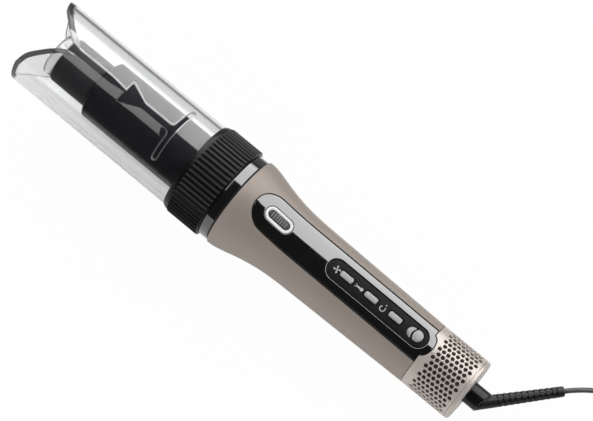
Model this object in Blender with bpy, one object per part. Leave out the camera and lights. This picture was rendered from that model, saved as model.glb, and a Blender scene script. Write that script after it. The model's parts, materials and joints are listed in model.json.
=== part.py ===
# Automatic hair curler: a clear curling chamber over a turning hot barrel, a ribbed collar, a tapered handle with
# its control strip, a perforated air inlet cap and a swivelling mains cord. Metres, +Z up.
# The tool is drawn along its own X axis: mouth at -X, base at +X, controls up.
# Station zero is the collar's front edge.
# It lies on a table on its collar and its cap, so one empty tips and lifts it.

import math

import bmesh
import bpy
from mathutils import Matrix, Vector

for old in list(bpy.data.objects):
    bpy.data.objects.remove(old, do_unlink=True)

mm = 0.001

# Driving sizes.
fit_gap = 0.3 * mm            # between pieces that touch or run on each other
overrun = 2.0 * mm            # how far every cutter passes the face that it cuts
smooth_angle = math.radians(35)
round_share = 0.3             # middle point of an edge rounded in two facets

collar_length = 26.4 * mm
collar_r = 30.2 * mm          # over the plain bands
rib_height = 0.7 * mm
rib_count = 60
rib_band_front = 3.4 * mm     # plain, rounded length ahead of the ribs
rib_band_rear = 1.0 * mm
collar_nose_drop = 0.8 * mm
collar_tail_drop = 0.7 * mm
collar_tail_round = 1.2 * mm

chamber_r = 28.7 * mm
chamber_wall = 2.7 * mm
chamber_reach = 119.4 * mm    # mouth ahead of the collar
chamber_root = 24.6 * mm      # length hidden in the collar

neck_length = 6.8 * mm
neck_r = 28.9 * mm
neck_round = 0.6 * mm
neck_lip = 17.0 * mm          # spigot that the chamber turns on
neck_plug = 4.8 * mm          # spigot in the handle's mouth
neck_wall = 3.0 * mm
neck_web = 5.0 * mm

handle_length = 139.9 * mm
handle_front_r = 29.8 * mm
handle_waist_r = 22.2 * mm
handle_rear_r = 20.6 * mm
handle_flare = 48.0 * mm      # length over which the handle narrows
handle_wall = 2.6 * mm
shoulder_round = 1.1 * mm

cap_length = 34.5 * mm
cap_r = 20.6 * mm
cap_wall = 1.6 * mm
cap_band = 6.7 * mm           # front edge to the first row of holes
cover_length = 2.4 * mm       # end cover, behind the cap
cover_round = 2.0 * mm
cover_step = 0.1 * mm         # how much narrower it is than the cap
hole_lines = 40
holes_in_line = 8
hole_pitch = 3.18 * mm
hole_phase = math.radians(3)  # how far the lattice is turned from the controls
hole_half = 1.3 * mm
spigot_length = 3.4 * mm      # handle's tail inside the cap

barrel_r = 19.4 * mm
barrel_wall = 1.6 * mm
guard_inset = 11.9 * mm       # tip guard behind the mouth
barrel_root = 17.0 * mm       # length behind the collar's front edge
barrel_chamfer = 2.6 * mm
tip_r = 14.9 * mm
tip_length = 27.0 * mm
tip_round = 1.6 * mm
tip_plug = 8.0 * mm
guard_r = 13.9 * mm
guard_length = 5.6 * mm
guard_wall = 1.2 * mm
guard_round = 1.8 * mm
barrel_reach = chamber_reach - guard_inset - guard_length - fit_gap - tip_length

swivel_r = 7.0 * mm
swivel_reach = 10.0 * mm      # past the cap, on its middle line
swivel_cut = math.radians(11.8)

# Stations along the axis.
neck_front = collar_length + fit_gap
neck_rear = neck_front + neck_length
handle_front = neck_rear + fit_gap
handle_rear = handle_front + handle_length
cap_front = handle_rear + fit_gap
cap_rear = cap_front + cap_length
cover_front = cap_rear - cover_length
cap_end = cover_front - fit_gap

collar_steps = rib_count
shell_steps = 36
barrel_steps = 32
inner_steps = 12


# Materials and helpers.
def paint(name, colour, rough, metal=0.0, alpha=1.0, transmission=0.0):
    """A Principled material in linear colour."""
    material = bpy.data.materials.new(name)
    material.use_nodes = True
    shader = material.node_tree.nodes["Principled BSDF"]
    shader.inputs["Base Color"].default_value = (*colour, 1.0)
    shader.inputs["Roughness"].default_value = rough
    shader.inputs["Metallic"].default_value = metal
    shader.inputs["Alpha"].default_value = alpha
    shader.inputs["Transmission Weight"].default_value = transmission
    material.diffuse_color = (*colour, alpha)
    return material


clear_plastic = paint("clear plastic", (0.86, 0.87, 0.87), 0.05, 0.0, 0.35, 1.0)
black_gloss = paint("gloss black", (0.008, 0.007, 0.008), 0.06)
black_barrel = paint("black ceramic coat", (0.012, 0.012, 0.014), 0.28)
black_rubber = paint("ribbed black", (0.012, 0.012, 0.012), 0.38)
taupe_satin = paint("taupe satin lacquer", (0.29, 0.25, 0.215), 0.34, 0.45)
taupe_light = paint("light taupe lacquer", (0.42, 0.37, 0.325), 0.36, 0.45)
grey_matte = paint("dark grey keypad", (0.032, 0.033, 0.035), 0.55)
white_gloss = paint("white ring", (0.80, 0.80, 0.79), 0.25)
silver_satin = paint("silver key", (0.50, 0.51, 0.52), 0.32, 0.6)
cord_grey = paint("dark grey cord", (0.045, 0.045, 0.042), 0.50)
plug_black = paint("black moulded plug", (0.015, 0.015, 0.015), 0.45)
nickel = paint("nickel pin", (0.62, 0.60, 0.56), 0.22, 1.0)
board_green = paint("circuit board", (0.02, 0.11, 0.05), 0.45)
inner_white = paint("inner nylon", (0.62, 0.62, 0.58), 0.50)
steel = paint("motor steel", (0.42, 0.43, 0.44), 0.30, 0.9)
ceramic = paint("heater ceramic", (0.66, 0.63, 0.55), 0.60)


def finish(bm, name, material, parent, sharp=True):
    """Turns a bmesh into a closed, outward facing object."""
    bmesh.ops.remove_doubles(bm, verts=bm.verts, dist=1e-6)
    bmesh.ops.dissolve_degenerate(bm, edges=bm.edges, dist=1e-6)
    bmesh.ops.recalc_face_normals(bm, faces=bm.faces)
    mesh = bpy.data.meshes.new(name)
    bm.to_mesh(mesh)
    bm.free()
    thing = bpy.data.objects.new(name, mesh)
    bpy.context.scene.collection.objects.link(thing)
    if material:
        mesh.materials.append(material)
    if sharp:
        mesh.shade_smooth()
        mesh.set_sharp_from_angle(angle=smooth_angle)
    thing.parent = parent
    return thing


def turned(name, outline, material, steps, parent):
    """A closed (station, radius) outline spun round the X axis; a flat of the turned face looks straight up."""
    bm = bmesh.new()
    half = math.pi / steps
    ring = [bm.verts.new((x, r * math.sin(half), r * math.cos(half))) for x, r in outline]
    edges = [bm.edges.new((ring[i - 1], ring[i])) for i in range(len(ring))]
    edges = [edge for edge in edges if edge.verts[0].co.yz.length + edge.verts[1].co.yz.length > 0]
    bmesh.ops.spin(bm, geom=ring + edges, cent=(0, 0, 0), axis=(1, 0, 0), angle=math.tau, steps=steps, use_merge=True)
    bmesh.ops.delete(bm, geom=[edge for edge in bm.edges if not edge.link_faces], context="EDGES")
    return finish(bm, name, material, parent)


def prism(name, outline, low, high, material, parent, sharp=True):
    """A closed (x, y) outline raised from low to high."""
    bm = bmesh.new()
    face = bm.faces.new([bm.verts.new((x, y, low)) for x, y in outline])
    raised = bmesh.ops.extrude_face_region(bm, geom=[face])["geom"]
    bmesh.ops.translate(bm, verts=[v for v in raised if isinstance(v, bmesh.types.BMVert)], vec=(0, 0, high - low))
    return finish(bm, name, material, parent, sharp)


def block(name, length, width, low, high, material, parent, x=0.0, y=0.0):
    corners = [(-1, -1), (1, -1), (1, 1), (-1, 1)]
    outline = [(x + i * length / 2, y + j * width / 2) for i, j in corners]
    return prism(name, outline, low, high, material, parent, False)


def pill(length, width, x=0.0, y=0.0, arc=5):
    """A slot outline with round ends, along X."""
    reach, r = (length - width) / 2, width / 2
    points = []
    for side in (1, -1):
        for k in range(arc + 1):
            angle = (k / arc - 0.5) * math.pi + (0 if side > 0 else math.pi)
            points.append((x + side * reach + r * math.cos(angle), y + r * math.sin(angle)))
    return points


def helper(thing):
    """A cutter or a guide, which is no piece of the tool."""
    thing.hide_render = True
    thing.display_type = "WIRE"
    return thing


def boolean(thing, other, operation):
    modifier = thing.modifiers.new(f"{operation.title()} {other.name}", "BOOLEAN")
    modifier.operation = operation
    modifier.solver = "EXACT"
    modifier.object = other
    return thing


def cut(thing, *others):
    for other in others:
        boolean(thing, helper(other), "DIFFERENCE")
    return thing


def keep(thing, other):
    return boolean(thing, helper(other), "INTERSECT")


def blend(points, steps):
    """A smooth curve through points, with steps stretches between each two."""
    out = []
    ends = [2 * Vector(points[0]) - Vector(points[1])] + [Vector(p) for p in points]
    ends.append(2 * ends[-1] - ends[-2])
    for a, b, c, d in zip(ends, ends[1:], ends[2:], ends[3:]):
        for k in range(steps):
            t = k / steps
            out.append(b + 0.5 * t * ((c - a) + t * ((2 * a - 5 * b + 4 * c - d) + t * (3 * (b - c) + d - a))))
    out.append(ends[-2])
    return out


# Resting attitude.
# The ribs' rear corner and the cap's rear corner both touch the table.
rib_margin = math.tau * collar_r / rib_count / 4
rib_contact_x = collar_length - rib_band_rear + rib_height - rib_margin
rib_contact_r = collar_r * math.cos(math.pi / collar_steps) + rib_height
line_turn = math.tau / hole_lines
cap_contact_r = cap_r * math.cos((math.pi - hole_phase) % line_turn - line_turn / 2)
cap_contact_x = cap_end
tip_angle = math.atan((rib_contact_r - cap_contact_r) / (cap_contact_x - rib_contact_x))
lift = rib_contact_r * math.cos(tip_angle) + rib_contact_x * math.sin(tip_angle)

tool = bpy.data.objects.new("tool_axis", None)
bpy.context.scene.collection.objects.link(tool)
tool.rotation_euler = (0, tip_angle, 0)
tool.empty_display_size = collar_r
span_low = -chamber_reach * math.cos(tip_angle) - chamber_r * math.sin(tip_angle)
span_high = (cap_rear + swivel_reach + swivel_r * math.tan(swivel_cut)) * math.cos(tip_angle)
tool.location = (-(span_low + span_high) / 2, 0, lift)


def axis_empty(name, x=0.0, z=0.0, slope=0.0):
    """An empty on a joint's axis, carried by the tool."""
    empty = bpy.data.objects.new(name, None)
    bpy.context.scene.collection.objects.link(empty)
    empty.empty_display_size = collar_r
    empty.parent = tool
    empty.location = (x, 0, z)
    empty.rotation_euler = (0, slope, 0)
    return empty


# Handle outline.
# Shares of the flare's length, and of the drop from the shoulder to the waist.
flare_shares = (
    (0.000, 1.00), (0.070, 0.98), (0.146, 0.90), (0.270, 0.71), (0.396, 0.50),
    (0.520, 0.33), (0.646, 0.19), (0.790, 0.08), (1.000, 0.00),
)


def sleeve_stations():
    drop = handle_front_r - handle_waist_r
    return [(handle_front + s * handle_flare, handle_waist_r + k * drop) for s, k in flare_shares] + [
        (handle_rear, handle_rear_r)
    ]


def sleeve_r(x):
    """Outer radius of the handle at a station."""
    stations = sleeve_stations()
    for (x0, r0), (x1, r1) in zip(stations, stations[1:]):
        if x <= x1:
            return r0 + (r1 - r0) * (x - x0) / (x1 - x0)
    return stations[-1][1]


def sleeve_slope(x):
    """Angle at which the handle's surface falls at a station."""
    reach = flare_shares[1][0] * handle_flare
    return math.atan((sleeve_r(x - reach) - sleeve_r(x + reach)) / (2 * reach))


def sleeve_guide(name, outer, inner=None, front=None, rear=None):
    """A turned body that follows the handle's surface, moved in or out by the given offsets."""
    stations = sleeve_stations()
    front = handle_front if front is None else front
    rear = handle_rear if rear is None else rear
    line = [(front, sleeve_r(front))] + [(x, r) for x, r in stations if front < x < rear] + [(rear, sleeve_r(rear))]
    top = [(x, r + outer) for x, r in line]
    under = [(rear, 0), (front, 0)] if inner is None else [(x, r + inner) for x, r in reversed(line)]
    return turned(name, top + under, None, shell_steps, tool)


# Control strip sizes.
strip_front = 10.9 * mm       # behind the handle's front edge
strip_width = 23.4 * mm
strip_depth = 1.5 * mm
lobe_width = 14.6 * mm
lobe_reach = 3.6 * mm         # into the cap's notch

ring_x = 28.4 * mm            # centre, behind the handle's front edge
ring_length = 20.4 * mm
ring_width = 9.6 * mm
ring_band = 1.8 * mm
ring_proud = 0.7 * mm

keypad_share = 0.469          # where the keypad starts along the handle
keypad_x = keypad_share * handle_length
keypad_length = handle_length - keypad_x - fit_gap
keypad_width = 12.8 * mm
keypad_sink = 0.45 * mm
window_margin = 2.2 * mm      # ledge of the handle that the keypad rests on

key_shares = (0.187, 0.433, 0.679)  # the keys' centres along the keypad
key_length = 10.0 * mm
key_width = 4.3 * mm
key_proud = 0.45 * mm
key_flange = 1.0 * mm
key_flange_thick = 0.8 * mm
key_flange_drop = 1.9 * mm    # flange's top below the handle's surface
key_stem = 2.6 * mm
key_stem_drop = 4.6 * mm
key_travel = 0.6 * mm

slot_share = 0.882            # the power switch's centre along the keypad
slot_length = 11.2 * mm
slot_width = 7.8 * mm
knob_length = 6.4 * mm
knob_proud = 0.5 * mm
knob_stem = 1.8 * mm
knob_width = slot_width - 2 * fit_gap
knob_bow = 1.0 * mm           # how far its front edge bulges
knob_bow_shares = (1.0, 0.6, 0.2, -0.2, -0.6, -1.0)
# It slides until its front corners come near the slot's round end.
knob_corner = math.sqrt((slot_width / 2) ** 2 - (knob_width / 2) ** 2) + (slot_length - slot_width) / 2
knob_travel = slot_length / 2 - knob_length + knob_bow + knob_corner - 3 * fit_gap
slot_floor_drop = 1.0 * mm
slot_floor_thick = 0.9 * mm

slider_travel = 1.8 * mm      # each way from its middle
slider_rib_count = 7
slider_rib_pitch = 1.75 * mm
slider_rib_height = 0.55 * mm
slider_skirt_margin = 2.0 * mm
slider_skirt_thick = 0.8 * mm

strip_thick = strip_depth - fit_gap
strip_start = handle_front + strip_front
ring_at = handle_front + ring_x
keypad_at = handle_front + keypad_x + keypad_length / 2
slot_at = handle_front + keypad_x + slot_share * keypad_length
above = handle_front_r + overrun


def strip_outline(clear):
    """The control strip seen from above: one round end, square at the cap, with a round lobe in the cap's notch."""
    r = strip_width / 2 + clear
    centre = strip_start + strip_width / 2
    arc = 10
    points = []
    for k in range(arc + 1):
        turn = math.pi / 2 + math.pi * k / arc
        points.append((centre + r * math.cos(turn), r * math.sin(turn)))
    points.append((handle_rear, -r))
    if clear:
        points += [(cap_front + overrun, -r), (cap_front + overrun, r), (handle_rear, r)]
        return points
    points += lobe_outline(0.0)
    points.append((handle_rear, r))
    return points


def lobe_outline(clear, tail=0.0):
    """The lobe's round nose, from its -Y foot to its +Y foot."""
    r = lobe_width / 2 + clear
    reach = cap_front - handle_rear + lobe_reach + clear
    points = [(handle_rear - tail, -r)]
    arc = 8
    for k in range(arc + 1):
        turn = -math.pi / 2 + math.pi * k / arc
        points.append((handle_rear + reach * math.cos(turn), r * math.sin(turn)))
    return points[1:] if not tail else points + [(handle_rear - tail, r)]


# Handle sleeve.
def handle_shell():
    stations = sleeve_stations()
    outer = [(handle_front, handle_front_r - shoulder_round)]
    outer.append((handle_front + shoulder_round / 3, handle_front_r - shoulder_round / 3))
    outer += [(x, r) for x, r in stations[1:]]
    tail_r = cap_r - cap_wall - fit_gap
    tail_bore = tail_r - cap_wall
    inner = [(x, r - handle_wall) for x, r in reversed(stations[:-1:2])]
    tail = [
        (handle_rear, tail_r), (handle_rear + spigot_length, tail_r), (handle_rear + spigot_length, tail_bore),
        (handle_rear - spigot_length, tail_bore),
    ]
    shell = turned("handle_shell", outer + tail + inner, taupe_satin, shell_steps, tool)
    pocket = prism("strip_pocket", strip_outline(fit_gap), 0, above, None, tool)
    pocket_rear = cap_front + 2 * overrun
    keep_core = sleeve_guide("strip_pocket_floor", -strip_depth, None, handle_front - overrun, pocket_rear)
    cut(pocket, keep_core)
    ledge = pill(keypad_length - 2 * window_margin, keypad_width - window_margin, keypad_at)
    window = prism("keypad_window", ledge, 0, above, None, tool)
    slot = pill(ring_length - 2 * ring_band, ring_width - 2 * ring_band, ring_at)
    return cut(shell, pocket, window, prism("slider_window", slot, 0, above, None, tool))


def control_strip():
    strip = sleeve_guide("control_inlay", 0.0, -strip_thick, handle_front, cap_front + lobe_reach + overrun)
    strip.data.materials.append(black_gloss)
    keep(strip, prism("strip_outline", strip_outline(0.0), 0, above, None, tool))
    for length, width, x in ((ring_length, ring_width, ring_at), (keypad_length, keypad_width, keypad_at)):
        outline = pill(length + 2 * fit_gap, width + 2 * fit_gap, x)
        cut(strip, prism("strip_opening", outline, 0, above, None, tool))
    return strip


def keypad():
    start, end = handle_front + keypad_x - overrun, handle_front + keypad_x + keypad_length + overrun
    plate = sleeve_guide("keypad_plate", -keypad_sink, -strip_thick, start, end)
    plate.data.materials.append(grey_matte)
    keep(plate, prism("keypad_outline", pill(keypad_length, keypad_width, keypad_at), 0, above, None, tool))
    for i in range(len(key_shares)):
        outline = pill(key_length + 2 * fit_gap, key_width + 2 * fit_gap, key_at(i))
        cut(plate, prism(f"key_hole_{i}", outline, 0, above, None, tool))
    return cut(plate, prism("slot_hole", pill(slot_length, slot_width, slot_at), 0, above, None, tool))


def key_at(i):
    """Station of a key's centre."""
    return handle_front + keypad_x + key_shares[i] * keypad_length


switch_size = 6.0 * mm
switch_gap = key_travel + fit_gap
switch_top = sleeve_r(key_at(2)) - key_stem_drop - switch_gap


def key(name, i):
    """A sprung key: its cap follows the handle, a flange under the keypad holds it, a stem meets the switch."""
    x = key_at(i)
    surface = sleeve_r(x)
    flange_top = surface - key_flange_drop
    flange_low = flange_top - key_flange_thick
    thing = prism(name, pill(key_length, key_width, x), flange_low, above, silver_satin, tool)
    keep(thing, sleeve_guide(f"{name}_crown", key_proud, None, x - key_length, x + key_length))
    skirt = pill(key_length + 2 * key_flange, key_width + 2 * key_flange, x)
    flange = prism(f"{name}_flange", skirt, flange_low, flange_top, None, tool)
    foot = pill(2 * key_stem, key_stem, x)
    stem = prism(f"{name}_stem", foot, switch_top + switch_gap, flange_top - key_flange_thick / 2, None, tool)
    boolean(thing, helper(flange), "UNION")
    boolean(thing, helper(stem), "UNION")
    return thing


def bezel():
    ring = sleeve_guide("slider_bezel", ring_proud, -strip_thick, ring_at - ring_length, ring_at + ring_length)
    ring.data.materials.append(white_gloss)
    keep(ring, prism("bezel_outline", pill(ring_length, ring_width, ring_at), 0, above, None, tool))
    inner = pill(ring_length - 2 * ring_band, ring_width - 2 * ring_band, ring_at)
    return cut(ring, prism("bezel_bore", inner, 0, above, None, tool))


def direction_slider():
    """A ribbed pad in the ring; its skirt slides under the handle's wall and closes the slot from below."""
    mount = axis_empty("direction_axis", ring_at, sleeve_r(ring_at), sleeve_slope(ring_at))
    pad_width = ring_width - 2 * ring_band - 2 * fit_gap
    pad_length = ring_length - 2 * ring_band - 2 * fit_gap - 2 * slider_travel
    skirt_top = -(handle_wall + fit_gap + slider_rib_height)
    foot = skirt_top - slider_skirt_thick / 2
    profile = [(-pad_length / 2, foot), (pad_length / 2, foot)]
    land = slider_rib_pitch / 4
    top = ring_proud - slider_rib_height
    profile.append((pad_length / 2, top - slider_rib_height))
    for i in reversed(range(slider_rib_count)):
        x = (i - (slider_rib_count - 1) / 2) * slider_rib_pitch
        profile += [(x + 2 * land, top - slider_rib_height), (x + land, top), (x - land, top)]
    profile.append((-slider_rib_count / 2 * slider_rib_pitch, top - slider_rib_height))
    profile.append((-pad_length / 2, top - slider_rib_height))
    bm = bmesh.new()
    face = bm.faces.new([bm.verts.new((x, -ring_width / 2, z)) for x, z in profile])
    raised = bmesh.ops.extrude_face_region(bm, geom=[face])["geom"]
    bmesh.ops.translate(bm, verts=[v for v in raised if isinstance(v, bmesh.types.BMVert)], vec=(0, ring_width, 0))
    pad = finish(bm, "direction_slider", black_rubber, mount, False)
    keep(pad, prism("pad_outline", pill(pad_length, pad_width), skirt_top - overrun, overrun, None, mount))
    skirt = prism("pad_skirt", pill(ring_length + 2 * slider_skirt_margin, ring_width - ring_band),
                  skirt_top - slider_skirt_thick, skirt_top, None, mount)
    return boolean(pad, helper(skirt), "UNION")


def power_switch():
    surface = sleeve_r(slot_at)
    floor = prism("power_slot_floor", pill(slot_length - 2 * fit_gap, slot_width - 2 * fit_gap, slot_at),
                  surface - slot_floor_drop - slot_floor_thick, surface - slot_floor_drop, silver_satin, tool)
    knob_x = slot_at + slot_length / 2 - fit_gap - knob_length / 2
    stem_run = pill(2 * knob_stem + knob_travel + 2 * fit_gap, knob_stem + 2 * fit_gap, knob_x - knob_travel / 2)
    cut(floor, prism("knob_slot", stem_run, 0, above, None, tool))
    # Its rear end is round like the slot, its front edge is a shallow bow.
    front = knob_x - knob_length / 2
    nose = [(x, y) for x, y in pill(2 * knob_length, knob_width, front) if x > front]
    bow = [(front + knob_bow * t * t, t * knob_width / 2) for t in knob_bow_shares]
    outline = nose + bow
    knob = prism("power_slider", outline, surface - slot_floor_drop + fit_gap, above, silver_satin, tool)
    keep(knob, sleeve_guide("knob_crown", knob_proud, None, slot_at - slot_length, slot_at + slot_length))
    stem = prism("knob_stem", pill(2 * knob_stem, knob_stem, knob_x), surface - key_stem_drop,
                 surface - slot_floor_drop / 2, None, tool)
    boolean(knob, helper(stem), "UNION")
    return knob


# Perforated cap.
def grille_cap():
    """A sleeve of staggered holes, laid out flat as a lattice and wrapped; plain bands close it at both ends."""
    bm = bmesh.new()
    inner_r = cap_r - cap_wall
    turns = [(i + 0.5) * line_turn + hole_phase for i in range(hole_lines)]
    half_turn = hole_half / cap_r
    first = cap_front + cap_band
    skins = []
    for radius in (cap_r, inner_r):
        def point(x, turn):
            return bm.verts.new((x, radius * math.sin(turn), radius * math.cos(turn)))

        holes = []
        for i in range(hole_lines):
            turn = turns[i]
            odd = i % 2
            line = []
            for j in range(holes_in_line - odd):
                x = first + (j + odd / 2) * hole_pitch
                line.append({"w": point(x - hole_half, turn), "e": point(x + hole_half, turn),
                             "s": point(x, turn - half_turn), "n": point(x, turn + half_turn)})
            holes.append(line)
        front = [point(cap_front, turn) for turn in turns]
        rear = [point(cap_end, turn) for turn in turns]
        skins.append((holes, front, rear))
        for i in range(hole_lines):
            up = (i + 1) % hole_lines
            a, b = holes[i], holes[up]
            long_line, short_line = (a, b) if i % 2 == 0 else (b, a)
            far, near = ("n", "s") if i % 2 == 0 else ("s", "n")
            for j, small in enumerate(short_line):
                big, after = long_line[j], long_line[j + 1]
                bm.faces.new((big[far], big["e"], small[near], small["w"]))
                bm.faces.new((small["e"], small[near], after["w"], after[far]))
            for ring, end, side in ((front, 0, "w"), (rear, -1, "e")):
                corner = a[end]["n"] if i % 2 == 0 else b[end]["s"]
                bm.faces.new((ring[i], a[end][side], corner, b[end][side], ring[up]))
        for i in range(hole_lines):
            up, down = holes[(i + 1) % hole_lines], holes[i - 1]
            for j in range(len(holes[i]) - 1):
                k = j if i % 2 == 0 else j + 1
                bm.faces.new((holes[i][j]["e"], down[k]["n"], holes[i][j + 1]["w"], up[k]["s"]))
    (outer, front_out, rear_out), (inner, front_in, rear_in) = skins
    for line_out, line_in in zip(outer, inner):
        for hole_out, hole_in in zip(line_out, line_in):
            for a, b in ("wn", "ne", "es", "sw"):
                bm.faces.new((hole_out[a], hole_out[b], hole_in[b], hole_in[a]))
    for one, two in ((rear_out, rear_in), (front_out, front_in)):
        for i in range(hole_lines):
            j = (i + 1) % hole_lines
            bm.faces.new((one[i], one[j], two[j], two[i]))
    cap = finish(bm, "grille_cap", taupe_light, tool)
    notch = prism("cap_notch", lobe_outline(fit_gap, overrun), 0, above, None, tool)
    return cut(cap, notch)


# Clear chamber.
# Mouth and guide slot, seen along the surface from the slot's middle, in shares of the mouth's depth and the
# tube's radius.
mouth_depth = 26.4 * mm
mouth_shares = (
    (-0.08, 0.93), (0.00, 0.866), (0.09, 0.70), (0.20, 0.58), (0.333, 0.46), (0.545, 0.275), (0.773, 0.185),
    (1.0, 0.132),
)
slit_shares = (0.27, 0.695)   # even part of the slit, between the notch's foot and the barb
slit_half = 3.4 * mm
throat_half = 0.9 * mm
barb_share = 0.4657           # the barb's corners, between the collar and the mouth
barb_x = -barb_share * chamber_reach
barb_half = 8.2 * mm
barb_length = 13.5 * mm
rail_half = 2.15 * mm
cross_x = -18.9 * mm          # middle of the cross slot, at its middle
cross_lead = 1.2 * mm         # how much nearer the collar its ends lie
cross_width = 2.8 * mm
cross_turn = math.radians(43)
cross_fillet = 3.0 * mm


def slot_outline():
    """One side of the mouth, slit, barb and rail, mirrored to the other side."""
    mouth_x = -chamber_reach
    foot_x = mouth_x + mouth_depth
    lip = [(mouth_x + a * mouth_depth, b * chamber_r) for a, b in mouth_shares[1:]]
    side = [(mouth_x - overrun, mouth_shares[0][1] * chamber_r)]
    side += [(p.x, p.y) for p in blend([(*p, 0.0) for p in lip], 2)]
    side += [(foot_x + share * (barb_x - foot_x), slit_half) for share in slit_shares]
    side.append((barb_x, throat_half))
    side += [(barb_x, barb_half), (barb_x + barb_length, rail_half)]
    corner = cross_x - cross_width / 2
    arc = 4
    for k in range(arc + 1):
        turn = math.pi / 2 * k / arc
        x = corner - cross_fillet + cross_fillet * math.sin(turn)
        side.append((x, rail_half + cross_fillet * (1 - math.cos(turn))))
    side.append((cross_x, rail_half + cross_fillet))
    return side + [(x, -y) for x, y in reversed(side)]


def cross_slot():
    """The cross slot wrapped on the tube: a bent pill outline, raised outwards through the wall."""
    reach = cross_turn * chamber_r
    steps = 8
    spine = [-1 + 2 * k / steps for k in range(steps + 1)]
    bm = bmesh.new()
    low_r, high_r = chamber_r - chamber_wall - overrun, chamber_r + overrun
    half = cross_width / 2
    cells = [(cross_x + cross_lead * t * t, t * (reach - half)) for t in spine]
    cap_arc = 4
    rows = [[(x - half, y), (x + half, y)] for x, y in cells]
    for side in (-1, 1):
        x, y = cells[0] if side < 0 else cells[-1]
        for k in range(1, cap_arc):
            turn = math.pi / 2 * k / cap_arc
            end_y = y + side * half * math.sin(turn)
            row = [(x - half * math.cos(turn), end_y), (x + half * math.cos(turn), end_y)]
            rows = [row] + rows if side < 0 else rows + [row]
    grid = []
    for radius in (low_r, high_r):
        level = []
        for row in rows:
            turns = [y / chamber_r for x, y in row]
            places = [(x, radius * math.sin(a), radius * math.cos(a)) for (x, y), a in zip(row, turns)]
            level.append([bm.verts.new(place) for place in places])
        grid.append(level)
    for a, b in zip(range(len(rows)), range(1, len(rows))):
        for level in grid:
            bm.faces.new((level[a][0], level[a][1], level[b][1], level[b][0]))
        for edge in (0, 1):
            bm.faces.new((grid[0][a][edge], grid[0][b][edge], grid[1][b][edge], grid[1][a][edge]))
    for end in (0, -1):
        bm.faces.new((grid[0][end][0], grid[0][end][1], grid[1][end][1], grid[1][end][0]))
    return finish(bm, "cross_slot", None, tool)


def clear_chamber(parent):
    inner_r = chamber_r - chamber_wall
    edge = chamber_wall / 4
    outline = [
        (-chamber_reach + edge, chamber_r), (chamber_root, chamber_r), (chamber_root, inner_r),
        (-chamber_reach + edge, inner_r), (-chamber_reach, inner_r + edge), (-chamber_reach, chamber_r - edge),
    ]
    tube = turned("clear_chamber", outline, clear_plastic, shell_steps, parent)
    slot = prism("mouth_and_slot", slot_outline(), 0, chamber_r + overrun, None, tool)
    return cut(tube, slot, cross_slot())


def grip_collar(parent):
    """A turned ring whose middle band is inset facet by facet and raised into ribs."""
    bore = chamber_r + fit_gap
    outline = [
        (0, bore), (rib_band_front / 4, collar_r - collar_nose_drop / 2), (rib_band_front - rib_height, collar_r),
        (collar_length - rib_band_rear + rib_height, collar_r),
        (collar_length, collar_r - collar_tail_drop - collar_tail_round / 2),
        (collar_length, bore - chamber_wall / 2),
        (chamber_root + fit_gap, bore - chamber_wall / 2), (chamber_root + fit_gap, bore),
    ]
    collar = turned("grip_collar", outline, black_rubber, collar_steps, parent)
    bm = bmesh.new()
    bm.from_mesh(collar.data)
    low, high = rib_band_front - rib_height, collar_length - rib_band_rear + rib_height
    skin_r = collar_r - collar_tail_drop / 2
    middles = [(f, f.calc_center_median()) for f in bm.faces]
    band = [f for f, middle in middles if low < middle.x < high and middle.yz.length > skin_r]
    bmesh.ops.inset_individual(bm, faces=band, thickness=rib_margin, use_even_offset=True)
    for face in band:
        out = face.calc_center_median()
        out = Vector((0, out.y, out.z)).normalized()
        bmesh.ops.translate(bm, verts=face.verts, vec=out * rib_height)
    bm.to_mesh(collar.data)
    bm.free()
    collar.data.shade_flat()
    return collar


# Neck, barrel and drive.
bearing_r = 11.0 * mm
bearing_length = 5.0 * mm
shaft_r = 4.0 * mm
hub_length = 3.2 * mm
heater_r = 12.4 * mm
heater_gap = 4.4 * mm         # between the heater and the hub
motor_r = 14.5 * mm
motor_length = 38.0 * mm
motor_boss_r = 7.0 * mm
motor_boss = 2.6 * mm

spigot_r = chamber_r - chamber_wall - fit_gap
plug_r = handle_front_r - shoulder_round - handle_wall - fit_gap
bearing_front = neck_front + neck_round
hub_front = barrel_root + fit_gap
shaft_end = neck_rear + neck_plug


def neck_ring():
    bore = barrel_r + 2 * fit_gap
    bearing_bore = bearing_r + fit_gap
    web_rear = bearing_front + bearing_length
    outline = [
        (neck_front - neck_lip, spigot_r), (neck_front, spigot_r), (neck_front, neck_r),
        (neck_rear, neck_r), (neck_rear, plug_r), (neck_rear + neck_plug, plug_r),
        (neck_rear + neck_plug, plug_r - neck_wall),
        (web_rear, plug_r - neck_wall), (web_rear, bearing_bore), (bearing_front, bearing_bore),
        (bearing_front, bore),
        (neck_front - neck_lip, bore),
    ]
    return turned("neck_ring", outline, black_gloss, shell_steps, tool)


def bearing():
    """Flanged bush of the drive shaft."""
    flange = bearing_r + 2 * fit_gap + shaft_r / 2
    rear = bearing_front + bearing_length
    outline = [
        (bearing_front, shaft_r + fit_gap), (bearing_front, bearing_r), (rear + fit_gap, bearing_r),
        (rear + fit_gap, flange),
        (rear + shaft_r / 2, flange), (rear + shaft_r / 2, shaft_r + fit_gap),
    ]
    return turned("shaft_bearing", outline, inner_white, inner_steps, tool)


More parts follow.
